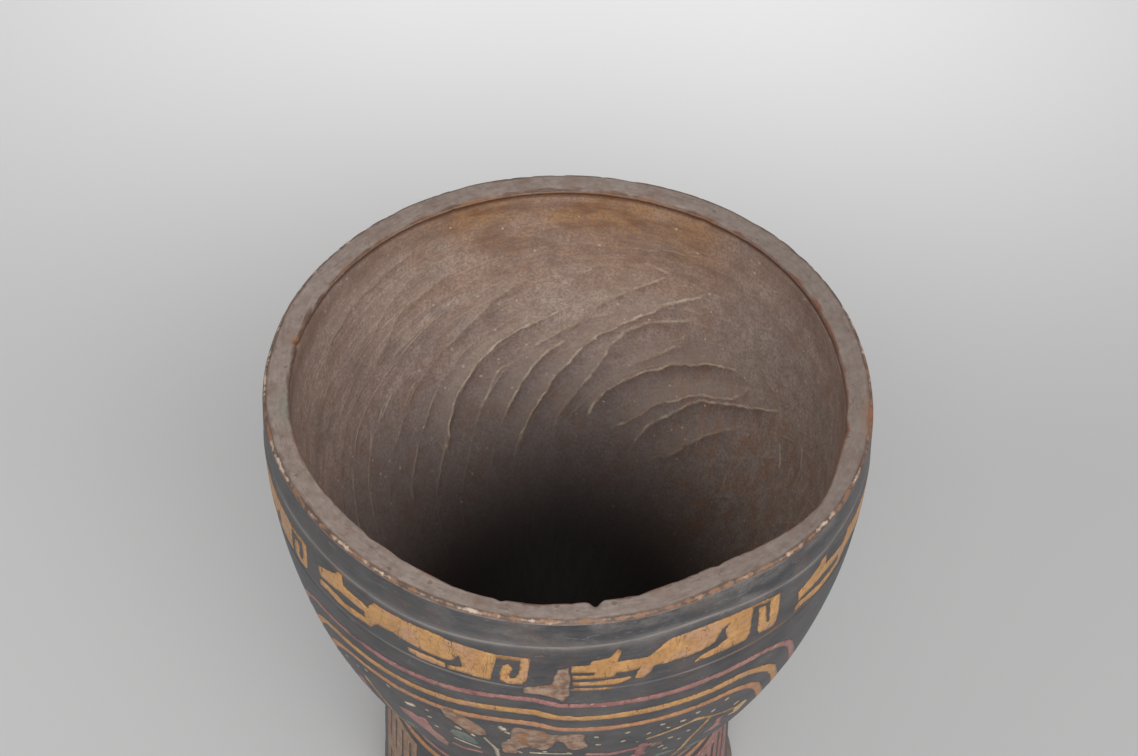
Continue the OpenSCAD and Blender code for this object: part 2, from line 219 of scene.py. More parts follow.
# Those of the outside, each group with the heights from which and to which it grows
WALL_SWELLS = [
    (CUP_HEIGHT - SWELL_FADE, CUP_HEIGHT, [(-16.0, 20.0, 1.1), (30.0, 16.0, -0.8), (97.0, 24.0, -1.3)]),
    (CUP_HEIGHT - 12.0, CUP_HEIGHT, [(30.0, 9.0, -0.9)]),
    (NECK_Z + 24.0, NECK_Z - 4.0, [(84.0, 36.0, -2.2)]),
]


def swell(azimuth, swells):
    return sum(amount * hump(apart(azimuth, middle), 0, width) for middle, width, amount in swells)


def wall_radius(azimuth, z):
    """The outside with the unevenness of hand carving."""
    carved = uneven(azimuth, z, [(0.16, 11, 45, 1), (0.05, 48, 11, 2)])
    swells = sum(between(z, start, end) * swell(azimuth, group) for start, end, group in WALL_SWELLS)
    return outer_radius(z) + carved + swells


def on_wall(azimuth, z, lift):
    """Points in metres on the outside, lifted off the wood by so many millimetres."""
    angle = np.radians(azimuth)
    radius = wall_radius(azimuth, z) + lift
    return np.stack([radius * np.sin(angle), -radius * np.cos(angle), z], -1) * MM


def degree_on_wall(z):
    """Length in millimetres of one degree round the outside."""
    return math.radians(1) * float(outer_radius(z))


# Worn patches of bare wood on the front, outlined by azimuth and drop below the rim
FRONT_LOSSES = [
    [(-0.6, 19.5), (1.1, 18.7), (1.3, 25.0), (1.4, 31.6), (0.3, 36.0), (-0.9, 33.5), (-4.2, 31.8),
     (-6.5, 32.3), (-6.8, 30.7), (-5.6, 28.7), (-1.9, 26.6), (-1.0, 22.2)],
    [(-23.6, 54.9), (-22.1, 52.4), (-19.7, 52.9), (-16.9, 55.8), (-14.7, 58.9), (-14.4, 62.1), (-16.1, 64.0),
     (-18.5, 64.0), (-20.1, 61.3), (-22.6, 58.0)],
    [(-9.2, 52.6), (-6.4, 53.2), (-3.0, 53.4), (-2.1, 55.5), (1.4, 55.6), (2.0, 54.4), (4.7, 54.9),
     (4.5, 58.0), (5.6, 64.3), (3.2, 65.9), (1.6, 65.2), (0.8, 60.2), (-0.8, 59.6), (-1.1, 62.9),
     (-3.1, 67.3), (-6.0, 65.8), (-8.4, 68.4), (-9.0, 73.0), (-11.8, 73.5), (-12.1, 67.0), (-9.5, 61.4)],
]
# Other worn patches: azimuth, drop below the rim, half width and half height
LOSSES = [
    (20.0, 71.0, 2.4, 1.2), (171.0, 61.0, 7.0, 4.2), (180.0, 30.5, 5.0, 2.2), (-112.0, 70.0, 6.0, 3.5),
    (118.0, 52.0, 5.0, 3.0),
]
LOSS_DEPTH = 0.28


def loss_distance(azimuth, z):
    """Distance to the nearest worn patch, negative inside it."""
    nearest = np.full(np.shape(azimuth + z), 50.0)
    for middle, drop, half_width, half_height in LOSSES:
        across = np.radians(apart(azimuth, middle)) * outer_radius(z) / half_width
        up = (z - CUP_HEIGHT + drop) / half_height
        squared = (np.abs(across) ** 3 + np.abs(up) ** 3) ** (1 / 3)
        nearest = np.minimum(nearest, (squared - 1) * min(half_width, half_height))
    for outline in FRONT_LOSSES:
        scale = degree_on_wall(CUP_HEIGHT - np.mean(outline, 0)[1])
        corners = [(a * scale, CUP_HEIGHT - drop) for a, drop in outline]
        nearest = np.minimum(nearest, outline_distance(corners, apart(azimuth, 0) * scale, z + 0 * azimuth))
    return nearest + uneven(azimuth, z, [(0.4, 240, 2.2, 31), (0.2, 640, 0.9, 32)])


# Gouge strokes inside the cup: each runs down the wall and leans over towards the rim
STROKES = 32
STROKE_BEND = 6000.0
STROKE_LEAD = 12.0
STROKE_DEPTH = 0.5


def stroke_sway(azimuth, drop):
    """How far the hand wandered from even strokes, in strokes."""
    return uneven(azimuth, drop, [(0.42, 8, 48, 5), (0.2, 22, 22, 6), (0.07, 64, 9, 7)])


def stroke_strength(azimuth, drop):
    """Where the strokes stand out: most at the left, below the smoothed top and above the dark bottom."""
    left = hump(apart(azimuth, 228), 0, 30)
    by_side = 0.34 - 0.2 * hump(apart(azimuth, 178), 0, 62) + 0.3 * left
    return by_side * between(drop, 20 - 14 * left, 48 - 22 * left) * (1 - 0.75 * between(drop, 76, 108))


def stroke_hollow(azimuth, drop):
    """Depth of the gouge strokes at a place inside the cup: each starts with a step and runs out gently."""
    count = (-azimuth - STROKE_BEND / (drop + STROKE_LEAD)) * STROKES / TURN + stroke_sway(azimuth, drop)
    stroke = np.floor(count)
    share = count - stroke
    own_depth = 0.25 + 0.75 * lattice(stroke % STROKES, 3, 51)
    kept = between(round_wander(azimuth, drop, 12, 26, 52), -0.7, 0.2)
    hollow = between(share, 0, 0.1) * (1 - share) ** 1.2 * own_depth * kept
    return STROKE_DEPTH * hollow * stroke_strength(azimuth, drop)


# Crests that the gouge left on the back wall: how bold each is, and its course from the upper end down,
# as degrees to the right of the back's middle and drop below the rim; neighbours take turns in two sets
CRESTS = [
    (0.9, [(1.5, 44), (-7, 49.5), (-14.5, 54), (-23.5, 60.5), (-29.5, 68), (-34, 73.5), (-37.5, 83),
           (-40.5, 90.5)]),
    (0.6, [(3.5, 46), (0.5, 52.5), (-6, 57), (-10, 60.5)]),
    (0.8, [(-1, 58), (-7.5, 63.5), (-12, 70.5), (-17.5, 79.5), (-19.5, 83)]),
    (0.6, [(-16.5, 64.5), (-19.5, 67), (-24, 74.5), (-26, 78)]),
    (0.5, [(23.5, 27), (16.5, 34.5), (10, 41.5), (6.5, 44), (5, 50)]),
    (0.9, [(35, 27.5), (23, 39.5), (14.5, 48.5), (6, 57), (-2, 68.5), (-7.5, 77), (-14, 88.5), (-19, 99)]),
    (0.5, [(33.5, 39), (21, 47), (13, 54), (9, 63), (5, 71.5), (-2.5, 84), (-5, 88.5)]),
    (0.6, [(24, 27), (16, 25.5)]),
    (0.5, [(30, 50), (21.5, 59.5), (13.5, 67.5)]),
    (0.9, [(48.5, 48), (40, 52), (32, 57), (21.5, 64.5), (11.5, 74), (7, 80.5), (5, 85.5)]),
    (0.7, [(50.5, 50), (46, 59.5), (34, 68), (25, 75.5), (20, 81.5), (12, 88)]),
    (0.7, [(63, 47), (56, 55), (49, 60), (37, 68.5), (29.5, 77), (22.5, 86), (18.5, 94.5)]),
    (0.4, [(52, 65.5), (41, 78), (33.5, 88.5), (26, 95)]),
    (0.4, [(52.5, 80), (53, 90.5)]),
    (0.25, [(31.5, 16), (20, 19), (13, 21)]),
    (0.25, [(10, 24.5), (5, 29.5), (-2.5, 36)]),
    (0.25, [(-12.5, 35), (-19, 40.5), (-27.5, 48.5), (-34, 53.5)]),
    (0.25, [(-27, 23), (-35, 28), (-43.5, 31.5), (-50, 39.5), (-55, 44)]),
    (0.25, [(-34, 18), (-42.5, 23), (-50, 29.5), (-55.5, 35)]),
    (0.25, [(-33.5, 9.5), (-46, 14), (-57, 16.5), (-66.5, 20.5), (-73, 26.5)]),
    (0.25, [(-34, 38.5), (-40, 42), (-48.5, 45.5)]),
    (0.5, [(-43.5, 59), (-48.5, 64.5)]),
    (0.7, [(-55.5, 59), (-57.5, 62)]),
    (0.4, [(-60.5, 62), (-64.5, 68)]),
    (0.4, [(-68, 43.5), (-70.5, 49)]),
    (0.6, [(65.5, 57.5), (69.5, 64.5)]),
    (0.5, [(73.5, 48), (77.5, 54.5)]),
    (0.8, [(68.5, 54), (70, 56.5)]),
    (0.4, [(61.5, 60), (64.5, 67)]),
]
CREST_STEP = 0.5
CREST_REACH = 3.4
CREST_MARGIN = 14.0


def smooth_course(points, steps=5):
    """A curve through all the points."""
    points = np.asarray(points, float)
    held = np.concatenate([[2 * points[0] - points[1]], points, [2 * points[-1] - points[-2]]])
    course = []
    for before, start, end, after in zip(held, held[1:], held[2:], held[3:]):
        for t in np.arange(steps) / steps:
            bend = (2 * before - 5 * start + 4 * end - after) * t ** 2
            twist = (3 * start - before - 3 * end + after) * t ** 3
            course.append((2 * start + (end - before) * t + bend + twist) / 2)
    return np.array(course + [points[-1]])


def beside_course(course, x, drop):
    """Distance to a course, positive on its lower right, and the share of its length at the nearest place."""
    offset = np.full(x.shape, np.inf)
    along = np.zeros(x.shape)
    count = len(course) - 1
    for i in range(count):
        step_x, step_down = course[i + 1] - course[i]
        share, off_x, off_down = from_segment(course[i], course[i + 1], x, drop)
        distance = np.hypot(off_x, off_down)
        closer = distance < np.abs(offset)
        offset = np.where(closer, np.sign(step_down * off_x - step_x * off_down) * distance, offset)
        along = np.where(closer, (i + share) / count, along)
    return offset, along


def crest_marks(azimuth, drop):
    """What the crests leave inside: masks of offset and boldness, painted light and shade beside them, and
    the depth of the hollow.
    """
    to_right = apart(TURN / 2, azimuth)
    offsets = np.full((2, *drop.shape), CREST_REACH)
    bolds = np.zeros((2, *drop.shape))
    shade, hollow = np.zeros((2, *drop.shape))
    for i, (boldness, points) in enumerate(CRESTS):
        offset, bold = offsets[i % 2], bolds[i % 2]
        middle_drop = np.mean(points, 0)[1]
        scale = math.radians(1) * MOUTH_RADIUS * math.sqrt(1 - (middle_drop / HOLLOW_DEPTH) ** 2)
        course = smooth_course(points) * (scale, 1.0)
        low, high = course.min(0) - CREST_MARGIN, course.max(0) + CREST_MARGIN
        x = to_right * scale
        close = (x > low[0]) & (x < high[0]) & (drop > low[1]) & (drop < high[1])
        at_x, at_drop = x[close], drop[close]
        waver_x, waver_down = (0.6 * wander(at_x / 4, at_drop / 4, seed) for seed in (61, 62))
        beside, along = beside_course(course, at_x + waver_x, at_drop + waver_down)
        distance = np.abs(beside)
        first = distance < np.abs(offset[close])
        offset[close] = np.where(first, beside, offset[close])
        ends = between(along, 0, 0.1) * between(along, 1, 0.9)
        there = boldness * ends * between(distance, CREST_REACH - 1, 1.4)
        bold[close] = np.where(first, there, bold[close])
        length = np.hypot(*np.diff(course, axis=0).T).sum()
        own = (0.3 + 0.7 * boldness) * between(along, 0, 0.25) * between(along, 1, 0.75)
        own = own * between(length, 8, 34)
        # painted light on the upper left of each crest and painted shade on its lower right
        shade[close] += own * np.where(beside > 0, -hump(beside, 0, 4), hump(beside, 0, 6))
        hollow[close] = np.maximum(hollow[close], own * between(beside, 0, 0.8) * hump(beside, 0, 7))
    masks = {"crest_painted_light_and_shade": np.clip(shade, -1, 1)}
    for i in range(2):
        masks[f"crest_offset_{i}"] = offsets[i]
        masks[f"crest_bold_{i}"] = bolds[i]
    return masks, CREST_STEP * hollow


# Soft spots: azimuth and half width in degrees, drop or distance to an edge and half width there, and amount
BLOTCHES = [
    (184.0, 12.0, 43.0, 7.0, 0.8), (208.0, 14.0, 20.0, 9.0, 0.8), (147.0, 16.0, 57.0, 14.0, -0.8),
    (240.0, 12.0, 39.0, 12.0, -0.6), (150.0, 8.0, 20.0, 5.0, -0.5), (172.0, 16.0, 30.0, 4.0, 0.4),
]
SMUDGES = [(185.0, 2.4, 23.0, 5.0, 1.0), (177.0, 3.4, 26.0, 4.0, 1.0)]
OUTER_RUST = [(82.0, 4.5, 0.0, 2.4, 1.0)]
INNER_RUST = [(-97.8, 1.6, 0.0, 1.5, 1.0)]
GREEN_STAIN = [(-79.0, 5.0, 1.5, 2.5, 1.0)]
DUST = [(34.0, 36.0, 0.7), (-4.0, 16.0, 0.3)]


def soft_spots(azimuth, away, spots):
    return sum(amount * hump(apart(azimuth, side), 0, half_width) * hump(away, middle, half_depth)
               for side, half_width, middle, half_depth, amount in spots)


# Wear of the rim: azimuth, half width in degrees and depth of each larger chip in its two edges
INNER_CHIPS = [
    (5.8, 1.5, 1.7), (-11.6, 1.2, 0.5), (31.0, 1.6, 0.5), (14.0, 2.5, 0.35), (-97.8, 1.2, 0.9),
    (77.5, 3.0, 0.6), (-152.0, 1.3, 0.5), (150.0, 2.0, 0.4), (-40.0, 2.0, 0.3),
]
OUTER_CHIPS = [
    (0.0, 45.0, 0.3), (82.0, 4.0, 1.0), (76.0, 1.6, 0.8), (-58.0, 2.0, 0.5), (24.0, 1.5, 0.4),
    (-30.0, 1.4, 0.4), (128.0, 2.0, 0.2), (-140.0, 2.5, 0.2), (168.0, 1.6, 0.2),
]
# How far a chip spreads from its edge, and the shares of its depth that go into the wall and down
OUTER_CHIP_REACH = 0.9
OUTER_CHIP_SHARES = (0.75, 0.65)
LIP_CHIP_REACH = 2.4
INSIDE_CHIP_REACH = 3.5
INNER_CHIP_SHARES = (0.85, 0.5)


def chip_depth(azimuth, chips, seed):
    """How far an edge of the rim is worn back, round the cup."""
    depth = 0.10 + 0.10 * round_wander(azimuth, 0, 70, 1, seed)
    depth = depth + 0.22 * np.maximum(0, round_wander(azimuth, 0, 260, 1, seed + 1) - 0.15)
    for middle, half_width, deep in chips:
        depth = depth + deep * np.maximum(0, 1 - np.abs(apart(azimuth, middle)) / half_width)
    return depth


# The wood as one mesh, a grid of columns round the cup and rows along its section

COLUMNS = 720
LIP_BEVEL = 0.7
GROOVE_WIDTH = 0.6
GROOVE_DEPTH = 0.5
GROOVE_SWELLS = [(-28.0, 16.0, -1.1), (23.0, 14.0, 1.9), (50.0, 9.0, -1.1)]
GROOVE_REACH = 4.0
LIP_LINE_DROP = 2.3
LIP_LINE_DEPTH = 0.35
FLOOR_DISH = 0.1


def groove_sway(azimuth, z):
    """Hand-drawn waver of the two incised lines, of which the upper one swings more."""
    upper, lower = hump(z, BAND_TOP_Z, GROOVE_REACH), hump(z, BAND_LOW_Z, GROOVE_REACH)
    drift = 0.3 * round_wander(azimuth, 0, 9, 1, 8)
    return swell(azimuth, GROOVE_SWELLS) * upper + drift * (upper + lower)


def close_rows(low, high, step, lines, reach, fine):
    """Heights from low to high, closer together near each line."""
    rows = [low]
    while rows[-1] < high - 1e-6:
        near = min((abs(rows[-1] - line) for line in lines), default=reach)
        rows.append(min(high, rows[-1] + (fine if near < reach else step)))
    return np.array(rows)


def arc_rows(start_angle, end_angle, count, middle, radius):
    """Points of a rounded edge in the section, as radius and height."""
    angles = np.radians(np.linspace(start_angle, end_angle, count))
    return np.stack([middle[0] + radius * np.cos(angles), middle[1] + radius * np.sin(angles)], -1)


def section():
    """The cup's section from the middle of the base, up the outside, over the rim and down to the floor.

    Gives radius and height of each row, and for each row the part of the cup that it belongs to.
    """
    edge, lip_edge = EDGE_BEVEL, LIP_BEVEL
    base = np.array([(FOOT_RADIUS * share, 0.0) for share in (0.25, 0.5, 0.75, 0.97)])
    foot = arc_rows(-80, 0, 4, (FOOT_RADIUS - edge, edge), edge)
    heights = np.concatenate([
        close_rows(edge + 0.8, BAND_LOW_Z - 4, 2.0, [], 0, 0),
        close_rows(BAND_LOW_Z - 3.4, BAND_TOP_Z + 2, 0.9, [BAND_LOW_Z, BAND_TOP_Z], 1.3, 0.22),
        close_rows(BAND_TOP_Z + 2.9, CUP_HEIGHT - edge - 0.25, 0.9, [CUP_HEIGHT], 3.6, 0.35),
    ])
    outside = np.stack([outer_radius(heights), heights], -1)
    rounded = arc_rows(0, 90, 6, (RIM_RADIUS - edge, CUP_HEIGHT - edge), edge)
    flat = np.linspace(RIM_RADIUS - edge, MOUTH_RADIUS + lip_edge, 14)[1:-1]
    top = np.stack([flat, np.full_like(flat, CUP_HEIGHT)], -1)
    lip = arc_rows(90, 180, 5, (MOUTH_RADIUS + lip_edge, CUP_HEIGHT - lip_edge), lip_edge)
    near_lip = np.arange(lip_edge + 0.3, 4.2, 0.3)
    turn = np.linspace(math.asin(4.5 / HOLLOW_DEPTH), math.radians(88.5), 150)
    drops = np.concatenate([near_lip, HOLLOW_DEPTH * np.sin(turn)])
    inside = np.stack([MOUTH_RADIUS * np.sqrt(1 - (drops / HOLLOW_DEPTH) ** 2), CUP_HEIGHT - drops], -1)
    parts = [
        ("base", base), ("base", foot), ("outside", outside),
        ("rim", rounded), ("rim", top), ("rim", lip), ("inside", inside),
    ]
    rows = np.concatenate([points for _, points in parts])
    names = np.concatenate([[name] * len(points) for name, points in parts])
    return rows[:, 0], rows[:, 1], names


def carved_wood():
    """Radius and height over the whole grid, and the masks that its finishes use."""
    row_radius, row_height, part = section()
    azimuth = np.arange(COLUMNS) * TURN / COLUMNS - TURN / 2
    azimuth, row_z = np.meshgrid(azimuth, row_height)
    radius = np.repeat(row_radius[:, None], COLUMNS, 1)
    outside = (part == "outside")[:, None] & np.ones_like(azimuth, bool)
    inside = (part == "inside")[:, None] & np.ones_like(azimuth, bool)
    arc = np.concatenate([[0], np.cumsum(np.hypot(np.diff(row_radius), np.diff(row_height)))])
    to_outer = np.abs(arc - arc[part == "rim"][0] - EDGE_BEVEL * math.pi / 4)[:, None]
    to_inner = np.abs(arc - arc[part == "inside"][0] + LIP_BEVEL)[:, None]

    z = row_z + np.where(outside, groove_sway(azimuth, row_z), 0)
    carved = wall_radius(azimuth, z) - outer_radius(z)
    on_rim = (part == "rim")[:, None]
    inwards = np.clip((RIM_RADIUS - EDGE_BEVEL - radius) / (RIM_WALL - 2 * EDGE_BEVEL), 0, 1)
    mouth = swell(azimuth, MOUTH_SWELLS)
    radius = np.where(outside, outer_radius(z) + carved, radius)
    radius = radius + np.where(on_rim, carved * (1 - inwards) + mouth * inwards, 0)
    radius = radius + np.where(inside, mouth * (1 - between(CUP_HEIGHT - row_z, 0, SWELL_FADE)), 0)

    groove = np.maximum(hump(row_z, BAND_TOP_Z, GROOVE_WIDTH), hump(row_z, BAND_LOW_Z, GROOVE_WIDTH))
    groove = np.where(outside, groove * (0.8 + 0.3 * round_wander(azimuth, row_z, 60, 40, 9)), 0)
    loss = np.where(outside, loss_distance(azimuth, z), 9.0)
    radius = radius - GROOVE_DEPTH * groove - LOSS_DEPTH * between(-loss, -0.3, 0.4)

    outer_bite = chip_depth(azimuth, OUTER_CHIPS, 11) * hump(to_outer, 0, OUTER_CHIP_REACH)
    inner_reach = np.where(inside, INSIDE_CHIP_REACH, LIP_CHIP_REACH)
    inner_bite = chip_depth(azimuth, INNER_CHIPS, 21) * hump(to_inner, 0, inner_reach)
    wave = 0.1 * round_wander(azimuth, 0, 13, 1, 14) * hump(to_inner - to_outer, 0, 12)
    radius = radius - OUTER_CHIP_SHARES[0] * outer_bite + INNER_CHIP_SHARES[0] * inner_bite
    z = z - OUTER_CHIP_SHARES[1] * outer_bite - INNER_CHIP_SHARES[1] * inner_bite
    z = z + np.where(on_rim, wave, 0)

    drop = CUP_HEIGHT - row_z
    uneven_inside = 0.35 * round_wander(azimuth, drop, 9, 40, 15) * between(drop, 2, 12)
    lip_line = hump(drop + 0.3 * round_wander(azimuth, 0, 16, 1, 16), LIP_LINE_DROP, 0.4)
    crest_masks, crest_hollow = crest_marks(azimuth, np.where(inside, drop, np.inf))
    gouged = stroke_hollow(azimuth, drop) + crest_hollow
    radius = radius + np.where(inside, gouged + uneven_inside + LIP_LINE_DEPTH * lip_line, 0)

    rust = np.maximum(soft_spots(azimuth, to_outer, OUTER_RUST), soft_spots(azimuth, to_inner, INNER_RUST))
    masks = {
        "loss": loss,
        "groove": groove,
        "groove_painted_highlight": np.where(outside, hump(row_z, BAND_TOP_Z + 0.3, 1.3), 0),
        "to_outer_edge": to_outer + 0 * z,
        "to_inner_edge": to_inner + 0 * z,
        "stroke_sway": np.where(inside, stroke_sway(azimuth, drop), 0),
        "stroke_strength": np.where(inside, stroke_strength(azimuth, drop), 0),
        "smudge": soft_spots(azimuth, drop, SMUDGES),
        "blotch": np.where(inside, soft_spots(azimuth, drop, BLOTCHES), 0),
        "dust": 0.2 + swell(azimuth, DUST),
        "rust": rust,
        "green_stain": soft_spots(azimuth, to_inner, GREEN_STAIN),
    }
    return azimuth, radius, z, part, arc, masks | crest_masks


def make_cup_body(finishes):
    """The wood as one closed mesh with its three finishes."""
    azimuth, radius, z, part, arc, masks = carved_wood()
    angle = np.radians(azimuth)
    points = np.stack([radius * np.sin(angle), -radius * np.cos(angle), z], -1).reshape(-1, 3) * MM
    rows = len(arc)
    base_middle, floor_middle = len(points), len(points) + 1
    floor_z = float(z[-1].mean()) - FLOOR_DISH
    points = np.concatenate([points, [(0, 0, 0), (0, 0, floor_z * MM)]])

    quads = round_quads(rows, COLUMNS, closed=False)
    ring = np.arange(COLUMNS)
    next_in_ring = (ring + 1) % COLUMNS
    last = (rows - 1) * COLUMNS
    base_fan = np.stack([np.full(COLUMNS, base_middle), next_in_ring, ring], -1)
    floor_fan = np.stack([np.full(COLUMNS, floor_middle), last + ring, last + next_in_ring], -1)
    faces = quads.tolist() + base_fan.tolist() + floor_fan.tolist()

    finish_of = {"outside": 0, "rim": 1, "base": 1, "inside": 2}
    row_finish = np.array([finish_of[name] for name in part])
    face_finish = np.concatenate([
        np.maximum(row_finish[:-1], row_finish[1:]).repeat(COLUMNS), np.full(COLUMNS, 1), np.full(COLUMNS, 2),
    ])
    body = add_mesh("carved_cup_body", points, faces, finishes, np.ones(len(faces), bool), face_finish)
    for name, values in masks.items():
        add_values(body, name, np.append(values.reshape(-1), [values[0].mean(), values[-1].mean()]))
    unroll(body, arc)
    set_in(body, "cup_body")


def unroll(body, arc):
    """Lays the wood's faces out flat for a bake: round the cup sideways, along its section upwards."""
    row, column = np.indices((len(arc) - 1, COLUMNS))
    share = arc / arc[-1] * 0.96 + 0.02
    around = np.stack([column, column + 1, column + 1, column], -1).reshape(-1)
    along = np.stack([share[row], share[row], share[row + 1], share[row + 1]], -1).reshape(-1)
    fan = np.arange(COLUMNS)[:, None]
    base_around, floor_around = (fan + [0.5, 1, 0]).reshape(-1), (fan + [0.5, 0, 1]).reshape(-1)
    base_along = np.tile([0, share[0], share[0]], COLUMNS)
    floor_along = np.tile([1, share[-1], share[-1]], COLUMNS)
    sideways = np.concatenate([around, base_around, floor_around]) / COLUMNS
    upwards = np.concatenate([along, base_along, floor_along])
    laid_out = np.stack([sideways, upwards], -1).reshape(-1).astype(np.float32)
    body.data.uv_layers.new(name="OFBake").uv.foreach_set("vector", laid_out)


# Meshes

def round_quads(rows, columns, closed):
    """Faces of a grid that runs round the cup; a closed one joins its last row to its first too."""
    row, column = np.indices((rows if closed else rows - 1, columns))
    above, after = (row + 1) % rows, (column + 1) % columns
    corners = [(row, column), (row, after), (above, after), (above, column)]
    return np.stack([r * columns + c for r, c in corners], -1).reshape(-1, 4)


def add_mesh(name, points, faces, finishes, smooth, finish_index=None):
    mesh = bpy.data.meshes.new(name)
    mesh.from_pydata(np.asarray(points).tolist(), [], faces)
    for finish in finishes:
        mesh.materials.append(finish)
    mesh.polygons.foreach_set("use_smooth", np.asarray(smooth, bool))
    if finish_index is not None:
        mesh.polygons.foreach_set("material_index", np.asarray(finish_index, np.int32))
    mesh.update()
    piece = bpy.data.objects.new(name, mesh)
    bpy.context.scene.collection.objects.link(piece)
    return piece


def add_values(piece, name, values):
    """A number at each point of a piece, for its finish to read."""
    data = piece.data.attributes.new(name, "FLOAT", "POINT").data
    data.foreach_set("value", np.asarray(values, np.float32))


def set_in(piece, node):
    """The piece stands for a solid of the frame: it hangs under the root, and that solid is hidden."""
    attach(piece, "root")
    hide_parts(node)


# Resin pieces: each is cut from the wall along ragged outlines, a little proud of the wood

GRID_STEP = 0.3
INNER_STEP = 4
RESIN_PROUD = {
    "cream_resin": 0.09, "ochre_resin": 0.07, "orange_resin": 0.06, "red_resin": 0.05, "green_resin": 0.03,
}
RESIN_SUNK = 0.55
WINDOW_MARGIN = 1.6
INNER_CLEARANCE = 0.45
LOSS_CLEARANCE = 0.15
BORDER_CLEARANCE = 0.1


def ragged(distance, x, z, seed, wear):
    """The outline as a knife cut it and as it has worn: a slight waver and some bitten corners."""
    waver = 0.15 * wander(x / 8, z / 5, seed + 3) + 0.12 * wander(x / 2.1, z / 2.1, seed)
    fine = 0.07 * wander(x / 0.8, z / 0.8, seed + 1)
    bitten = 1.8 * np.maximum(0, wander(x / 4.2, z / 4.2, seed + 2) - 0.66)
    return distance + wear * (waver + fine + bitten)


def crossings(field, x, z):
    """Points where the field changes sign along the grid's lines, and edges that join them in each cell."""
    level = np.where(field == 0, 1e-6, field)
    ids, points, count = [], [], 0
    level_lines = (level[:, :-1], level[:, 1:], GRID_STEP, 0.0)
    upright_lines = (level[:-1], level[1:], 0.0, GRID_STEP)
    for first, second, dx, dz in (level_lines, upright_lines):
        crossed = (first > 0) != (second > 0)
        j, i = np.nonzero(crossed)
        share = np.clip(first[crossed] / (first[crossed] - second[crossed]), 0.1, 0.9)
        points.append(np.stack([x[i] + share * dx, z[j] + share * dz], -1))
        found = np.full(crossed.shape, -1)
        found[crossed] = count + np.arange(len(i))
        count += len(i)
        ids.append(found)
    level_ids, upright_ids = ids
    cells = np.stack([level_ids[:-1], upright_ids[:, 1:], level_ids[1:], upright_ids[:, :-1]], -1)
    cells = cells.reshape(-1, 4)
    edges = []
    for cell in cells[(cells >= 0).sum(1) >= 2]:
        met = cell[cell >= 0]
        edges.append((int(met[0]), int(met[1])))
        if len(met) == 4:
            edges.append((int(met[2]), int(met[3])))
    return np.concatenate(points), edges


def at_point(field, x, z, points):
    """The field between its grid points."""
    u = (points[:, 0] - x[0]) / GRID_STEP
    v = (points[:, 1] - z[0]) / GRID_STEP
    i = np.clip(u.astype(int), 0, len(x) - 2)
    j = np.clip(v.astype(int), 0, len(z) - 2)
    a, b = u - i, v - j
    low = field[j, i] * (1 - a) + field[j, i + 1] * a
    high = field[j + 1, i] * (1 - a) + field[j + 1, i + 1] * a
    return low * (1 - b) + high * b


def cut_flat(field, x, z):
    """The flat shape where the field is negative: its points, its triangles and the field at its points."""
    outline, edges = crossings(field, x, z)
    inner_x, inner_z = np.meshgrid(x[::INNER_STEP], z[::INNER_STEP])
    inner = np.stack([inner_x, inner_z], -1)[field[::INNER_STEP, ::INNER_STEP] < -INNER_CLEARANCE]
    points = [Vector(p) for p in np.concatenate([outline, inner])]
    corners, _, triangles, *_ = delaunay_2d_cdt(points, edges, [], 0, 1e-5)
    corners = np.array([tuple(p) for p in corners])
    triangles = np.array(triangles)
    middles = corners[triangles].mean(1)
    triangles = triangles[at_point(field, x, z, middles) < 0]
    a, b, c = (corners[triangles[:, k]] for k in range(3))
    turned = (b[:, 0] - a[:, 0]) * (c[:, 1] - a[:, 1]) - (b[:, 1] - a[:, 1]) * (c[:, 0] - a[:, 0]) < 0
    triangles[turned] = triangles[turned][:, ::-1]
    used, triangles = np.unique(triangles, return_inverse=True)
    return corners[used], triangles.reshape(-1, 3), at_point(field, x, z, corners[used])


def rim_edges(triangles):
    """The triangles' edges that have no neighbour, in order round the shape."""
    edges = np.concatenate([triangles[:, [0, 1]], triangles[:, [1, 2]], triangles[:, [2, 0]]])
    size = triangles.max() + 1
    forward = edges[:, 0] * size + edges[:, 1]
    backward = edges[:, 1] * size + edges[:, 0]
    return edges[~np.isin(forward, backward)]


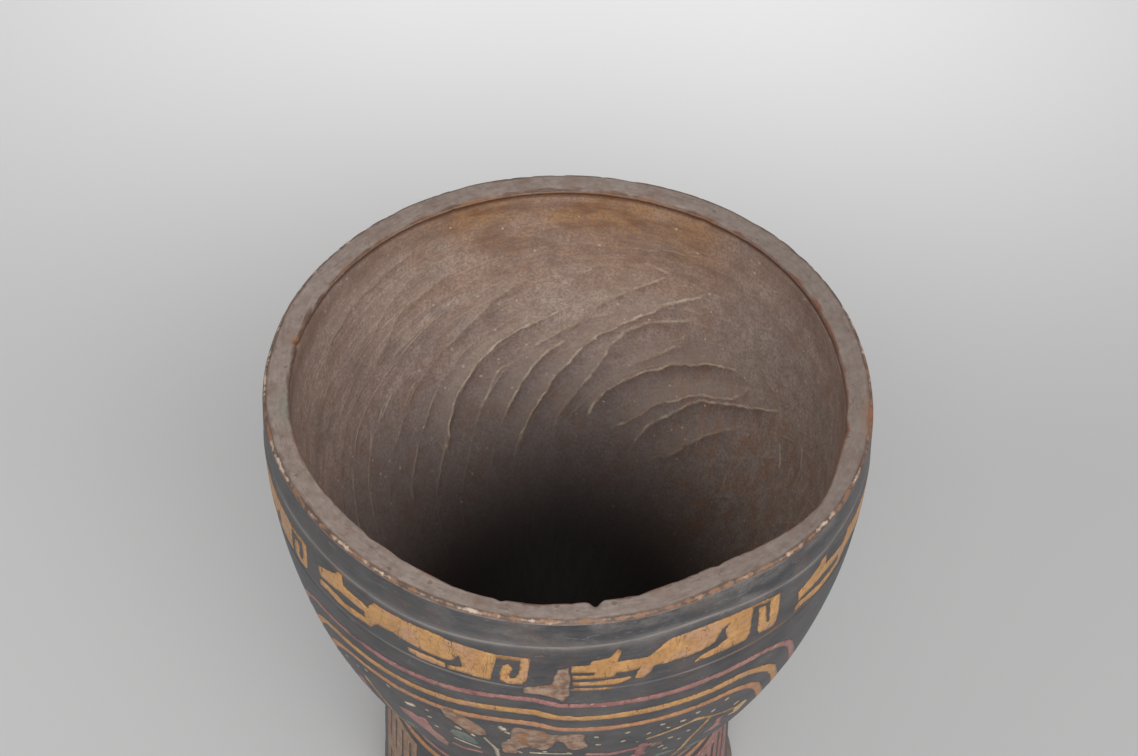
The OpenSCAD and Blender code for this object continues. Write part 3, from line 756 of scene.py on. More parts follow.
def make_inlay(node, slot, finish, outlines=(), paths=(), cuts=None, seed=0, wear=1.0):
    """A resin piece from closed outlines and from paths with a width, given as azimuth and height.

    The cuts, where there are any, give the distance to places inside it that stay wood.
    """
    places = np.concatenate([*outlines, *(path for path, _ in paths)]).astype(float)
    widest = max([width for _, width in paths], default=0) / 2 + WINDOW_MARGIN
    scale = degree_on_wall(places[:, 1].mean())
    x = np.arange(places[:, 0].min() * scale - widest, places[:, 0].max() * scale + widest, GRID_STEP)
    z = np.arange(places[:, 1].min() - widest, places[:, 1].max() + widest, GRID_STEP)
    grid_x, grid_z = np.meshgrid(x, z)
    across = np.array([scale, 1.0])
    shapes = [outline_distance(np.asarray(outline) * across, grid_x, grid_z) for outline in outlines]
    shapes += [path_distance(np.asarray(path) * across, grid_x, grid_z) - width / 2 for path, width in paths]
    field = np.minimum.reduce(shapes)
    if cuts:
        field = np.maximum(field, -cuts(grid_x / scale, grid_z))
    field = ragged(field, grid_x, grid_z, seed, wear)
    field = np.maximum(field, LOSS_CLEARANCE - loss_distance(grid_x / scale, grid_z))
    for border in (np.s_[[0, -1]], np.s_[:, [0, -1]]):
        field[border] = np.maximum(field[border], BORDER_CLEARANCE)

    flat, triangles, depth = cut_flat(field, x, z)
    count = len(flat)
    azimuth, height = flat[:, 0] / scale, flat[:, 1]
    points = np.concatenate([on_wall(azimuth, height, lift) for lift in (RESIN_PROUD[slot], -RESIN_SUNK)])
    sides = rim_edges(triangles)
    walls = np.stack([sides[:, 0], sides[:, 0] + count, sides[:, 1] + count, sides[:, 1]], -1)
    faces = triangles.tolist() + (triangles[:, ::-1] + count).tolist() + walls.tolist()
    smooth = np.arange(len(faces)) < 2 * len(triangles)
    piece = add_mesh("resin_" + node, points, faces, [finish], smooth)
    add_values(piece, "to_edge", np.tile(np.maximum(0, -depth), 2))
    set_in(piece, node)


def make_ring(node, slot, finish, z, seed):
    """A resin band all the way round the stem."""
    steps = 480
    azimuth = np.arange(steps) * TURN / steps
    low = z - RING_WIDTH / 2 + 0.16 * round_wander(azimuth, 0, 140, 1, seed)
    high = z + RING_WIDTH / 2 + 0.16 * round_wander(azimuth, 0, 140, 1, seed + 1)
    shares = np.array([0, 0, 0.33, 0.67, 1, 1])
    lifts = np.repeat([-RESIN_SUNK, RESIN_PROUD[slot], -RESIN_SUNK], (1, 4, 1))
    rows = [on_wall(azimuth, low + (high - low) * share, lift) for share, lift in zip(shares, lifts)]
    faces = round_quads(len(rows), steps, closed=True).tolist()
    smooth = np.repeat([False, True, True, True, False, False], steps)
    piece = add_mesh("resin_" + node, np.concatenate(rows), faces, [finish], smooth)
    add_values(piece, "to_edge", np.repeat(RING_WIDTH * np.minimum(shares, 1 - shares), steps))
    set_in(piece, node)


# Pumas

PUMA_NOSES = (-52.0, 1.5, 44.5, 101.0, 154.5, 207.5, 260.5)
PUMA_SPANS = (46.5, 39.5, 50.0, 46.0, 46.0, 46.0, 46.0)
THIRD_PUMA_DROOP = 1.6
PUMA_LOW_Z = BAND_LOW_Z + BAND_MARGIN
PUMA_HEIGHT = BAND_HEIGHT - 2 * BAND_MARGIN
# Outlines on a field one unit long and one unit high, nose at the left and squared tail at the right:
# a body, a foreleg and a third strip, which is the hind leg of one kind and the claws of the other
LONG_PUMA = [
    [(0.045, 0.64), (0.11, 0.78), (0.16, 0.89), (0.172, 0.98), (0.2, 1.01), (0.203, 0.74), (0.33, 0.67),
     (0.366, 0.9), (0.41, 0.89), (0.61, 0.92), (0.695, 0.89), (0.78, 0.85), (0.875, 0.81), (1.003, 0.82),
     (0.987, 0.18), (0.971, 0.05), (0.92, 0.0), (0.886, 0.06), (0.884, 0.31), (0.898, 0.54), (0.92, 0.59),
     (0.936, 0.48), (0.922, 0.27), (0.928, 0.18), (0.945, 0.21), (0.96, 0.4), (0.963, 0.71), (0.876, 0.7),
     (0.869, 0.5), (0.849, 0.02), (0.74, 0.05), (0.681, 0.02), (0.681, 0.13), (0.743, 0.22), (0.73, 0.55),
     (0.707, 0.34), (0.675, 0.27), (0.606, 0.28), (0.518, 0.32), (0.45, 0.35), (0.373, 0.34), (0.333, 0.1),
     (0.31, 0.13), (0.31, 0.46), (0.182, 0.48), (0.15, 0.45), (0.051, 0.38)],
    [(0.04, 0.24), (0.062, 0.33), (0.16, 0.3), (0.185, 0.26), (0.29, 0.3), (0.338, 0.3), (0.333, 0.1),
     (0.31, 0.12), (0.235, 0.07), (0.16, 0.08), (0.093, 0.15), (0.04, 0.1)],
    [(0.512, 0.18), (0.605, 0.2), (0.673, 0.18), (0.67, 0.02), (0.6, 0.01), (0.56, 0.01), (0.514, 0.08)],
]
SHORT_PUMA = [
    [(0.0, 0.64), (0.079, 0.65), (0.091, 0.76), (0.168, 0.81), (0.201, 1.01), (0.22, 0.95), (0.207, 0.69),
     (0.26, 0.69), (0.339, 0.66), (0.407, 0.92), (0.444, 1.0), (0.53, 1.02), (0.63, 1.04), (0.757, 1.03),
     (0.856, 1.01), (1.015, 0.93), (1.02, 0.37), (1.01, 0.07), (0.917, 0.13), (0.902, 0.24), (0.892, 0.86),
     (0.932, 0.83), (0.951, 0.35), (0.966, 0.29), (0.956, 0.87), (0.871, 0.95), (0.86, 0.92), (0.856, 0.62),
     (0.858, 0.37), (0.848, 0.2), (0.822, 0.15), (0.676, 0.15), (0.571, 0.12), (0.568, 0.16), (0.596, 0.27),
     (0.683, 0.37), (0.728, 0.46), (0.714, 0.64), (0.715, 0.76), (0.741, 0.85), (0.698, 0.78), (0.683, 0.62),
     (0.672, 0.48), (0.602, 0.42), (0.523, 0.38), (0.473, 0.4), (0.377, 0.36), (0.357, 0.22), (0.325, 0.09),
     (0.288, 0.15), (0.302, 0.38), (0.246, 0.36), (0.202, 0.38), (0.194, 0.28), (0.159, 0.25), (0.009, 0.26),
     (0.008, 0.38), (0.102, 0.37), (0.103, 0.43), (0.003, 0.45)],
    [(0.008, 0.18), (0.16, 0.19), (0.267, 0.21), (0.271, 0.16), (0.214, 0.04), (0.162, 0.04), (0.01, 0.07)],
    [(0.011, 0.01), (0.162, -0.02), (0.193, -0.06), (0.164, -0.1), (0.015, -0.07)],
]


def make_pumas(finish):
    """The row under the rim; the third one was drawn a little lower."""
    for i, (nose, span) in enumerate(zip(PUMA_NOSES, PUMA_SPANS)):
        low_z = PUMA_LOW_Z - (THIRD_PUMA_DROOP if i == 2 else 0)
        figures = (LONG_PUMA, SHORT_PUMA)[i % 2]
        outlines = [[(nose + u * span, low_z + v * PUMA_HEIGHT) for u, v in figure] for figure in figures]
        make_inlay(f"puma_{i + 1}", "ochre_resin", finish, outlines, seed=100 + 10 * i, wear=0.7)


# Rainbows: three stripes over each scene, level across the top and leaning outwards down the sides

def from_flat(azimuth, points):
    """Points of a flat drawing held against the wall at an azimuth, as azimuth and height."""
    return [(azimuth + math.degrees(math.asin(x / float(outer_radius(z)))), z) for x, z in points]


# The stripes from the outermost in: worn widths, and how far the right ends of the front ones droop
STRIPE_WIDTHS = (2.5, 2.9, 2.7)
FRONT_DROOPS = (1.0, 2.2, 0.0)


def front_sway(azimuth, k):
    """The front stripes as drawn by hand: the left lengths end higher in the middle, and both sides droop."""
    kink = 2.6 * between(azimuth, -22, -6) * (1 - between(azimuth, -5.5, 0.5))
    left = 2.0 * between(azimuth, -14, -34) + 1.2 * between(azimuth, -40, -58)
    right = FRONT_DROOPS[k] * between(azimuth, 34, 44)
    return kink - left - right


def stripe_path(scene, k):
    """The middle of a stripe, from the foot of its left leg to the foot of its right one."""
    z = RED_Z - k * STRIPE_PITCH
    half_span = RAINBOW_HALF_SPAN - k * RAINBOW_SPAN_STEP
    bend = 90 - RAINBOW_LEAN
    tangent = RAINBOW_TURN * math.tan(math.radians(bend / 2))
    turns = [math.radians(bend * i / 12) for i in range(13)]
    leg = [(-tangent + RAINBOW_TURN * math.sin(a), z - RAINBOW_TURN * (1 - math.cos(a))) for a in turns]
    lean = math.radians(RAINBOW_LEAN)
    reach = tangent + RAINBOW_LEG
    leg.append((reach * math.sin(lean), z - reach * math.cos(lean)))
    right = from_flat(half_span, leg)
    left = [(-a, height) for a, height in reversed(right)]
    arch = [(a, z) for a in np.linspace(left[-1][0], right[0][0], 40)[1:-1]]
    middle = SCENE_AZIMUTHS[scene]
    path = [(middle + a, height) for a, height in left + arch + right]
    if scene == 0:
        path = [(a, height + float(front_sway(a, k))) for a, height in path]
    return path


def make_rainbows(finishes):
    for scene, place in enumerate(("front", "back")):
        for k, colour in enumerate(("red", "yellow", "orange")):
            slot, finish = finishes[k]
            make_inlay(f"{place}_rainbow_{colour}", slot, finish,
                       paths=[(stripe_path(scene, k), STRIPE_WIDTHS[k])], seed=300 + 20 * scene + 5 * k)


# Rain dots: an angle from the scene's middle and a distance below the last stripe

DOTS = [
    (13, 5.5), (13.5, 11), (18.5, 10.5), (19, 5), (21.5, 13), (23.5, 8.5), (26, 4.5), (27.5, 8),
    (30.5, 6.5), (33.5, 4.5), (37.5, 8.5), (40, 4.5), (44, 13), (33, 16.5), (29, 17), (31.5, 21),
    (27.5, 22.5), (29, 26), (44.5, 21.5), (5.8, 5.2), (8, 17), (3, 16.5), (-2, 19), (-5, 4.5),
    (-4, 10.5), (-7, 20), (-11.5, 13.5), (-21, 7.5), (-21, 12), (-20, 17.5), (-30, 5.5), (-36, 6),
    (-39, 8.5), (-43, 10), (-29, 18), (-33, 16.5), (-46, 21),
]
# Those at the far left are worn smaller
FAR_LEFT = -25
FAR_LEFT_SIZE = 0.75
# Cream strokes on the front: two ends as azimuth and drop below the rim, and a width
CREAM_STROKES = [
    ((-1.4, 57.6), (1.3, 57.6), 1.3), ((-5.8, 69.6), (2.3, 68.9), 0.9), ((-15.1, 64.5), (-13.1, 71.0), 0.9),
    ((-13.1, 71.0), (-13.0, 77.5), 1.1), ((-22.3, 72.9), (-16.9, 74.3), 0.8),
    ((-11.4, 54.6), (-10.9, 55.2), 2.0), ((-10.3, 57.2), (-10.0, 57.4), 1.3),
    ((-20.8, 62.8), (-20.3, 63.2), 1.4), ((-32.0, 61.8), (-30.4, 60.4), 1.6),
]


def make_rain_dots(slot, finish):
    for scene, place in enumerate(("front", "back")):
        strokes = []
        for i, (angle, below) in enumerate(DOTS):
            azimuth, z = SCENE_AZIMUTHS[scene] + angle, SCENE_Z - below
            size = 0.5 + 0.28 * float(lattice(i, scene, 42))
            size = size * (FAR_LEFT_SIZE if angle < FAR_LEFT else 1.0)
            half = math.degrees((DOT_WIDTH - DOT_HEIGHT) * size / float(outer_radius(z)))
            tilt = 0.5 * float(lattice(i, scene, 41)) - 0.25
            strokes.append(([(azimuth - half, z - tilt), (azimuth + half, z + tilt)], DOT_HEIGHT * size))
        if scene == 0:
            strokes += [(from_rim((start, end)), width) for start, end, width in CREAM_STROKES]
        make_inlay(f"{place}_rain_dots", slot, finish, paths=strokes, seed=400 + 10 * scene, wear=0.6)


# Flower sprigs, drawn round a reference point; places are parts of the sprig's height

MAIN_STALK = [(0, -0.90), (0.03, -0.37), (0.15, -0.01)]
UPPER_STALK = [(-0.42, 0), (0, 0.09), (0.15, 0), (0.40, -0.12)]
BELL_TOPS = [(0.28, -0.15), (-0.44, -0.09)]
LEAF_FEET = [(0.05, -0.73), (-0.03, -0.59), (-0.68, -0.09)]
LEAF_ANGLES = (-10, 170, 217)
BELL_SHAPE = [
    (-0.28, 0), (0.28, 0), (0.38, -0.62), (1, -0.95), (0.36, -0.84), (0, -1), (-0.36, -0.84), (-1, -0.95),
    (-0.38, -0.62),
]
# More of the front drawing, as azimuth and drop below the rim
FRONT_LEAF = [
    (-23.3, 68.6), (-21.8, 65.2), (-19.7, 65.0), (-17.7, 67.2), (-16.4, 71.1), (-18.2, 72.2), (-21.4, 71.6),
]
FRONT_BLOOM = [(38.4, 69.0), (41.4, 67.6), (42.6, 71.0), (41.2, 76.0), (39.2, 74.6)]
FRONT_RED_PATCH = [
    (-34.8, 68.5), (-32.0, 67.4), (-30.0, 69.0), (-27.6, 74.1), (-25.7, 77.4), (-24.9, 81.4), (-26.1, 86.8),
    (-28.4, 85.1), (-29.5, 80.2), (-32.4, 76.3), (-35.2, 71.6),
]
RED_LINES = [
    [(-23.4, 79.6), (-21.4, 80.3), (-17.2, 78.5)],
    [(5.7, 69.8), (10.2, 71.3), (13.5, 70.6), (16.3, 69.8), (18.6, 69.0)],
]
RED_LINE_WIDTH = 2.2


def from_rim(places):
    """Places below the rim, as azimuth and height."""
    return [(azimuth, CUP_HEIGHT - drop) for azimuth, drop in places]


def sprigs_of(group):
    """Azimuth of each sprig of a group, and the side that it turns to."""
    if group == "side":
        return [(middle + 90, 1) for middle in SCENE_AZIMUTHS]
    middle = SCENE_AZIMUTHS[("front", "back").index(group)]
    return [(middle - SPRIG_OFFSET, -1), (middle + SPRIG_OFFSET, 1)]


def leaf_outline(foot, angle):
    """A pointed leaf from its foot, out along one side and back along the other."""
    c, s = math.cos(math.radians(angle)), math.sin(math.radians(angle))
    outline = []
    for side, i in [(1, i) for i in range(9)] + [(-1, i) for i in range(7, 0, -1)]:
        x, y = LEAF_LENGTH * i / 8, side * LEAF_WIDTH / 2 * math.sin(math.pi * i / 8)
        outline.append((foot[0] + x * c - y * s, foot[1] + x * s + y * c))
    return outline


def on_sprig(sprig, drawing):
    """A drawing in millimetres, held against the wall where a sprig grows."""
    azimuth, side = sprig
    return from_flat(azimuth, [(side * x, SPRIG_Z + y) for x, y in drawing])


def grown(drawing):
    """A drawing in parts of the sprig's height, at its real size."""
    return [(x * SPRIG_HEIGHT, y * SPRIG_HEIGHT) for x, y in drawing]


def make_sprigs(straw, red, green):
    """Three groups of sprigs; the upper stalk of the left front one has worn away."""
    for group, seed in (("front", 500), ("back", 520), ("side", 540)):
        stalks, bells, leaves, blooms, lines = [], [], [], [], []
        if group == "front":
            leaves.append(from_rim(FRONT_LEAF))
            blooms.append(from_rim(FRONT_BLOOM))
            bells.append(from_rim(FRONT_RED_PATCH))
            lines += [(from_rim(line), RED_LINE_WIDTH) for line in RED_LINES]
        for sprig in sprigs_of(group):
            worn_off = group == "front" and sprig[1] < 0
            for stalk in (MAIN_STALK,) if worn_off else (MAIN_STALK, UPPER_STALK):
                stalks.append((on_sprig(sprig, grown(stalk)), STALK_WIDTH))
            for x, y in grown(BELL_TOPS):
                bell = [(x + u * BELL_WIDTH / 2, y + v * BELL_HEIGHT) for u, v in BELL_SHAPE]
                bells.append(on_sprig(sprig, bell))
            count = 3 if sprig[1] < 0 else 2
            for foot, angle in list(zip(grown(LEAF_FEET), LEAF_ANGLES))[:count]:
                leaves.append(on_sprig(sprig, leaf_outline(foot, angle)))
        make_inlay(f"{group}_stalks", "ochre_resin", straw, blooms, stalks, seed=seed)
        make_inlay(f"{group}_bell_flowers", "red_resin", red, bells, lines, seed=seed + 3)
        make_inlay(f"{group}_leaves", "green_resin", green, leaves, seed=seed + 6)


# Panels round the stem, and the bands above and below them

PANEL_AZIMUTHS = (-60.0, 0.0, 60.0, 120.0, 180.0, 240.0)
PANEL_HEIGHT = PANEL_TOP_Z - PANEL_LOW_Z
CUT_GAP = PANEL_WIDTH / 6
CUT_HEIGHT = PANEL_HEIGHT / 3
HATCH_WIDTH = SLOT_WIDTH / 2
FIRST_PANEL_RIGHT = 0.6


def box_distance(x, y, half_width, half_height):
    return np.maximum(np.abs(x) - half_width, np.abs(y) - half_height)


def upright_cuts(x, y):
    half_width, half_height = HATCH_WIDTH / 2, CUT_HEIGHT / 2
    return np.minimum.reduce([
        box_distance(x - column * CUT_GAP, y - row * PANEL_HEIGHT / 4, half_width, half_height)
        for row in (-1, 1) for column in range(-2, 3)
    ])


def slanted_cuts(x, y):
    starts = [column * CUT_GAP for column in range(-2, 2)]
    paths = [[(start, -CUT_HEIGHT), (start + CUT_GAP, CUT_HEIGHT)] for start in starts]
    return np.minimum.reduce([path_distance(path, x, y) for path in paths]) - SLOT_WIDTH / 2


def stepped_cuts(x, y):
    steps = [box_distance(x, y, 2 * CUT_GAP * i / 3, CUT_HEIGHT * (4 - i) / 3) for i in (1, 2, 3)]
    return np.abs(np.minimum.reduce(steps) + SLOT_WIDTH / 2) - SLOT_WIDTH / 2


def make_panels(finishes):
    """Six panels in three patterns; the right half of the first one is narrower."""
    middle_z = (PANEL_TOP_Z + PANEL_LOW_Z) / 2
    half_width = PANEL_WIDTH / 2
    for i, azimuth in enumerate(PANEL_AZIMUTHS):
        slot, finish, pattern = finishes[i % 3]
        left, right = -half_width, half_width * (FIRST_PANEL_RIGHT if i == 0 else 1)
        corners = [(left, PANEL_LOW_Z), (right, PANEL_LOW_Z), (right, PANEL_TOP_Z), (left, PANEL_TOP_Z)]

        def cuts(at_azimuth, z, middle=azimuth, pattern=pattern):
            x = outer_radius(z) * np.sin(np.radians(at_azimuth - middle))
            return pattern(x, z - middle_z)

        outline = from_flat(azimuth, corners)
        make_inlay(f"panel_{i + 1}", slot, finish, [outline], cuts=cuts, seed=600 + 10 * i)


def make_rings(red, orange, ochre):
    make_ring("neck_band_red", "red_resin", red, NECK_RING_Z, 700)
    make_ring("neck_band_orange", "orange_resin", orange, NECK_RING_Z - RING_STEP, 710)
    make_ring("foot_band_red", "red_resin", red, FOOT_RING_Z + RING_STEP, 720)
    make_ring("foot_band_ochre", "ochre_resin", ochre, FOOT_RING_Z, 730)


# Finishes

def paint(code):
    """A colour written as six hex digits, as the linear values that a shader takes."""
    shares = [int(code[i:i + 2], 16) / 255 for i in (0, 2, 4)]
    return tuple(c / 12.92 if c <= 0.04045 else ((c + 0.055) / 1.055) ** 2.4 for c in shares) + (1.0,)


class Signal:
    """What a node puts out. Sums and products of signals add the nodes that work them out."""

    def __init__(self, nodes, socket):
        self.nodes = nodes
        self.socket = socket

    def __add__(self, other):
        return self.nodes.math("ADD", self, other)

    def __sub__(self, other):
        return self.nodes.math("SUBTRACT", self, other)

    def __mul__(self, other):
        return self.nodes.math("MULTIPLY", self, other)

    def __abs__(self):
        return self.nodes.math("ABSOLUTE", self)


class Nodes:
    """Short calls that add and join nodes in one tree."""

    def __init__(self, tree):
        self.tree = tree

    def feed(self, socket, value):
        if isinstance(value, Signal):
            self.tree.links.new(value.socket, socket)
        else:
            socket.default_value = value

    def add(self, kind, inputs=(), **settings):
        """A new node; its inputs are numbered or named."""
        node = self.tree.nodes.new(kind)
        for name, value in settings.items():
            setattr(node, name, value)
        for socket, value in dict(inputs).items():
            self.feed(node.inputs[socket], value)
        return node

    def signal(self, kind, inputs=(), output=0, **settings):
        return Signal(self, self.add(kind, inputs, **settings).outputs[output])

    def math(self, operation, *values):
        return self.signal("ShaderNodeMath", enumerate(values), operation=operation)

    def vector(self, operation, *values, output=0):
        return self.signal("ShaderNodeVectorMath", enumerate(values), output, operation=operation)

    def joined(self, *values):
        return self.signal("ShaderNodeCombineXYZ", enumerate(values))

    def parts(self, vector):
        split = self.add("ShaderNodeSeparateXYZ", {0: vector})
        return [Signal(self, socket) for socket in split.outputs]

    def noise(self, position, size, detail=3.0, roughness=0.55):
        scale = self.math("DIVIDE", 1.0, size) if isinstance(size, Signal) else 1 / size
        inputs = {"Vector": position, "Scale": scale, "Detail": detail, "Roughness": roughness}
        return self.signal("ShaderNodeTexNoise", inputs)

    def between(self, value, low, high):
        """0 at low and 1 at high, smooth between them; low may be the larger."""
        inputs = {"Value": value, "From Min": low, "From Max": high}
        return self.signal("ShaderNodeMapRange", inputs, interpolation_type="SMOOTHSTEP")

    def mix(self, share, first, second):
        first, second = (paint(tone) if isinstance(tone, str) else tone for tone in (first, second))
        return self.signal("ShaderNodeMix", {0: share, 6: first, 7: second}, 2, data_type="RGBA")

    def value(self, name):
        """A number that the piece carries at each point."""
        return self.signal("ShaderNodeAttribute", output="Fac", attribute_name=name)

    def group(self, name, *values):
        """Places one of the shared groups and gives its mask."""
        return self.signal("ShaderNodeGroup", enumerate(values), node_tree=bpy.data.node_groups[name])

    def clouds(self, position, size, low, high):
        return self.group("Clouds", position, size, low, high)

    def hair_lines(self, position, size, width):
        return self.group("Hair lines", position, size, width)

    def specks(self, position, size, share):
        return self.group("Specks", position, size, share)

    def worn_edge(self, position, size, distance, reach):
        return self.group("Worn edge", position, size, distance, reach)


class Finish(Nodes):
    """A material whose colour is laid on coat by coat."""

    def __init__(self, name):
        self.material = bpy.data.materials.new(name)
        self.material.use_nodes = True
        super().__init__(self.material.node_tree)
        self.shader = self.tree.nodes["Principled BSDF"].inputs
        coordinates = self.signal("ShaderNodeTexCoord", output="Object")
        self.place = self.vector("MULTIPLY", coordinates, (1 / MM,) * 3)
        self.colour = None

    def stretched(self, *scale):
        """The place in millimetres of the frame, drawn out or together on each axis."""
        return self.vector("MULTIPLY", self.place, scale)

    def moved(self, *step):
        return self.vector("ADD", self.place, step)

    def coat(self, share, tone):
        """Lays a tone over the colour so far."""
        self.colour = self.mix(share, self.colour, tone)

    def coat_by_sign(self, value, above, above_tone, below, below_tone):
        """Lays one tone where the value is positive and another where it is negative."""
        self.coat(self.math("MAXIMUM", value, 0.0) * above, above_tone)
        self.coat(self.math("MINIMUM", value, 0.0) * -below, below_tone)

    def done(self, rough, height, depth, shine=0.5):
        """Joins the colour, the roughness and a raised surface; the depth of its relief is in millimetres."""
        inputs = {"Height": height, "Distance": depth * MM, "Strength": 1.0}
        self.feed(self.shader["Base Color"], self.colour)
        self.feed(self.shader["Roughness"], rough)
        self.feed(self.shader["Normal"], self.signal("ShaderNodeBump", inputs))
        self.shader["Specular IOR Level"].default_value = shine
        return self.material


def shared_group(name, *labels):
    """A new group that gives a mask: its nodes, its inputs in order and a call that sets the mask."""
    tree = bpy.data.node_groups.new(name, "ShaderNodeTree")
    for label in labels:
        kind = "NodeSocketVector" if label == "Position" else "NodeSocketFloat"
        tree.interface.new_socket(label, in_out="INPUT", socket_type=kind)
    tree.interface.new_socket("Mask", in_out="OUTPUT", socket_type="NodeSocketFloat")
    nodes = Nodes(tree)
    start = nodes.add("NodeGroupInput")
    end = nodes.add("NodeGroupOutput")
    given = [Signal(nodes, start.outputs[label]) for label in labels]
    return nodes, given, lambda mask: nodes.feed(end.inputs[0], mask)


def make_clouds():
    """Soft patches of a size in millimetres: none where the noise is low, full where it is high."""
    nodes, (position, size, low, high), put_out = shared_group("Clouds", "Position", "Size", "Low", "High")
    put_out(nodes.between(nodes.noise(position, size, 4.0, 0.6), low, high))


def make_hair_lines():
    """Fine lines that wander and end, along the contours of noise."""
    nodes, (position, size, width), put_out = shared_group("Hair lines", "Position", "Size", "Width")
    line = nodes.between(abs(nodes.noise(position, size, 2.0, 0.5) - 0.5), width, 0.0)
    elsewhere = nodes.vector("ADD", position, (31.0, 17.0, 5.0))
    put_out(line * nodes.between(nodes.noise(elsewhere, size, 2.0, 0.5), 0.42, 0.62))


def make_specks():
    """Small spots, of which only a share is there."""
    nodes, (position, size, share), put_out = shared_group("Specks", "Position", "Size", "Share")
    bent = nodes.noise(position, size * 0.5, 2.0, 0.5)
    cells = nodes.add("ShaderNodeTexVoronoi", {"Vector": position, "Scale": nodes.math("DIVIDE", 1.0, size)})
    distance, tone = (Signal(nodes, cells.outputs[label]) for label in ("Distance", "Color"))
    there = nodes.math("LESS_THAN", nodes.parts(tone)[0], share)
    reach = bent * 0.5 + 0.08
    put_out(nodes.between(distance, reach + 0.12, reach) * there)


def make_worn_edge():
    """A broken border along an edge, from the distance to it."""
    labels = ("Position", "Size", "Distance", "Reach")
    nodes, (position, size, distance, reach), put_out = shared_group("Worn edge", *labels)
    swing = (nodes.noise(position, size, 3.0, 0.6) - 0.5) * (reach * 5.0)
    put_out(nodes.between(distance + swing, reach, 0.0))


def make_outer_ground():
    """Charcoal-dark outside: satin, dusty towards the rim, bare pinkish wood where it has worn through."""
    wood = Finish("charred_outside")
    place = wood.place
    x, _, z = wood.parts(place)
    along = wood.stretched(0.25, 0.25, 1.6)
    grain = wood.clouds(along, 1.6, 0.38, 0.68)
    patches = wood.clouds(place, 16.0, 0.36, 0.66)
    scratches = wood.hair_lines(along, 4.0, 0.012)
    smears = wood.clouds(wood.stretched(0.6, 0.6, 1.2), 8.0, 0.34, 0.74)
    powder = wood.clouds(place, 0.8, 0.35, 0.7)
    high_up = wood.between(z, BAND_TOP_Z - 8, CUP_HEIGHT)
    wood.colour = wood.mix(patches, "3b3b3f", "484749")
    wood.coat(grain * 0.15, "67645f")
    dusty = wood.value("dust") * (high_up * 0.65 + 0.2) * smears * (powder * 0.4 + 0.6)
    wood.coat(dusty, "9a918b")
    wood.coat(wood.clouds(place, 9.0, 0.5, 0.66) * 0.3, "5d4d43")
    wood.coat(scratches * 0.4, "8d8783")
    # painted highlight: a soft pale band along the upper incised line
    wood.coat(wood.value("groove_painted_highlight") * (patches * 0.3 + 0.25), "8a837f")
    # pale tone in the incised lines, partly a painted highlight of their lit edges, with a brown painted line
    # at the lower right
    lines = wood.between(wood.value("groove"), 0.2, 0.75)
    pale = wood.clouds(along, 2.5, 0.25, 0.6)
    low_right = wood.between(x, 30.0, 56.0) * wood.between(z, BAND_LOW_Z + 5, BAND_LOW_Z + 3)
    wood.coat(lines * (pale * 0.4 + 0.2), wood.mix(low_right, "958e89", "94704f"))
    loss = wood.value("loss")
    bare = wood.between(loss, 0.3, -0.35)
    bare_tone = wood.mix(wood.clouds(place, 2.6, 0.35, 0.65), "775e50", "a08876")
    bare_tone = wood.mix(wood.clouds(place, 3.8, 0.5, 0.66) * 0.6, bare_tone, "9a6a45")
    dark_rim = wood.between(loss, 1.0, 0.1) * wood.between(loss, -0.4, 0.2)
    wood.coat(dark_rim * 0.5, "3a3230")
    wood.coat(bare, bare_tone)
    wood.coat(wood.worn_edge(place, 2.0, wood.value("to_outer_edge"), 0.6) * 0.8, "9a7a66")
    wood.coat(wood.value("rust") * (powder * 0.4 + 0.6), "8a4f30")
    rough = wood.math("MAXIMUM", dusty * 0.3 + 0.46, bare * 0.75)
    height = grain * 0.18 + scratches * -0.6 + bare * wood.noise(place, 0.8)
    return wood.done(rough, height, 0.12, shine=0.3)


def round_the_axis(wood, squeeze):
    """Position with the turn round the axis drawn together, so that patches on the rim run along it."""
    flat = wood.stretched(1.0, 1.0, 0.0)
    radius = wood.vector("LENGTH", flat, output="Value")
    direction = wood.vector("MULTIPLY", wood.vector("NORMALIZE", flat), (squeeze, squeeze, 0.0))
    x, y, _ = wood.parts(direction)
    return wood.joined(x, y, radius)


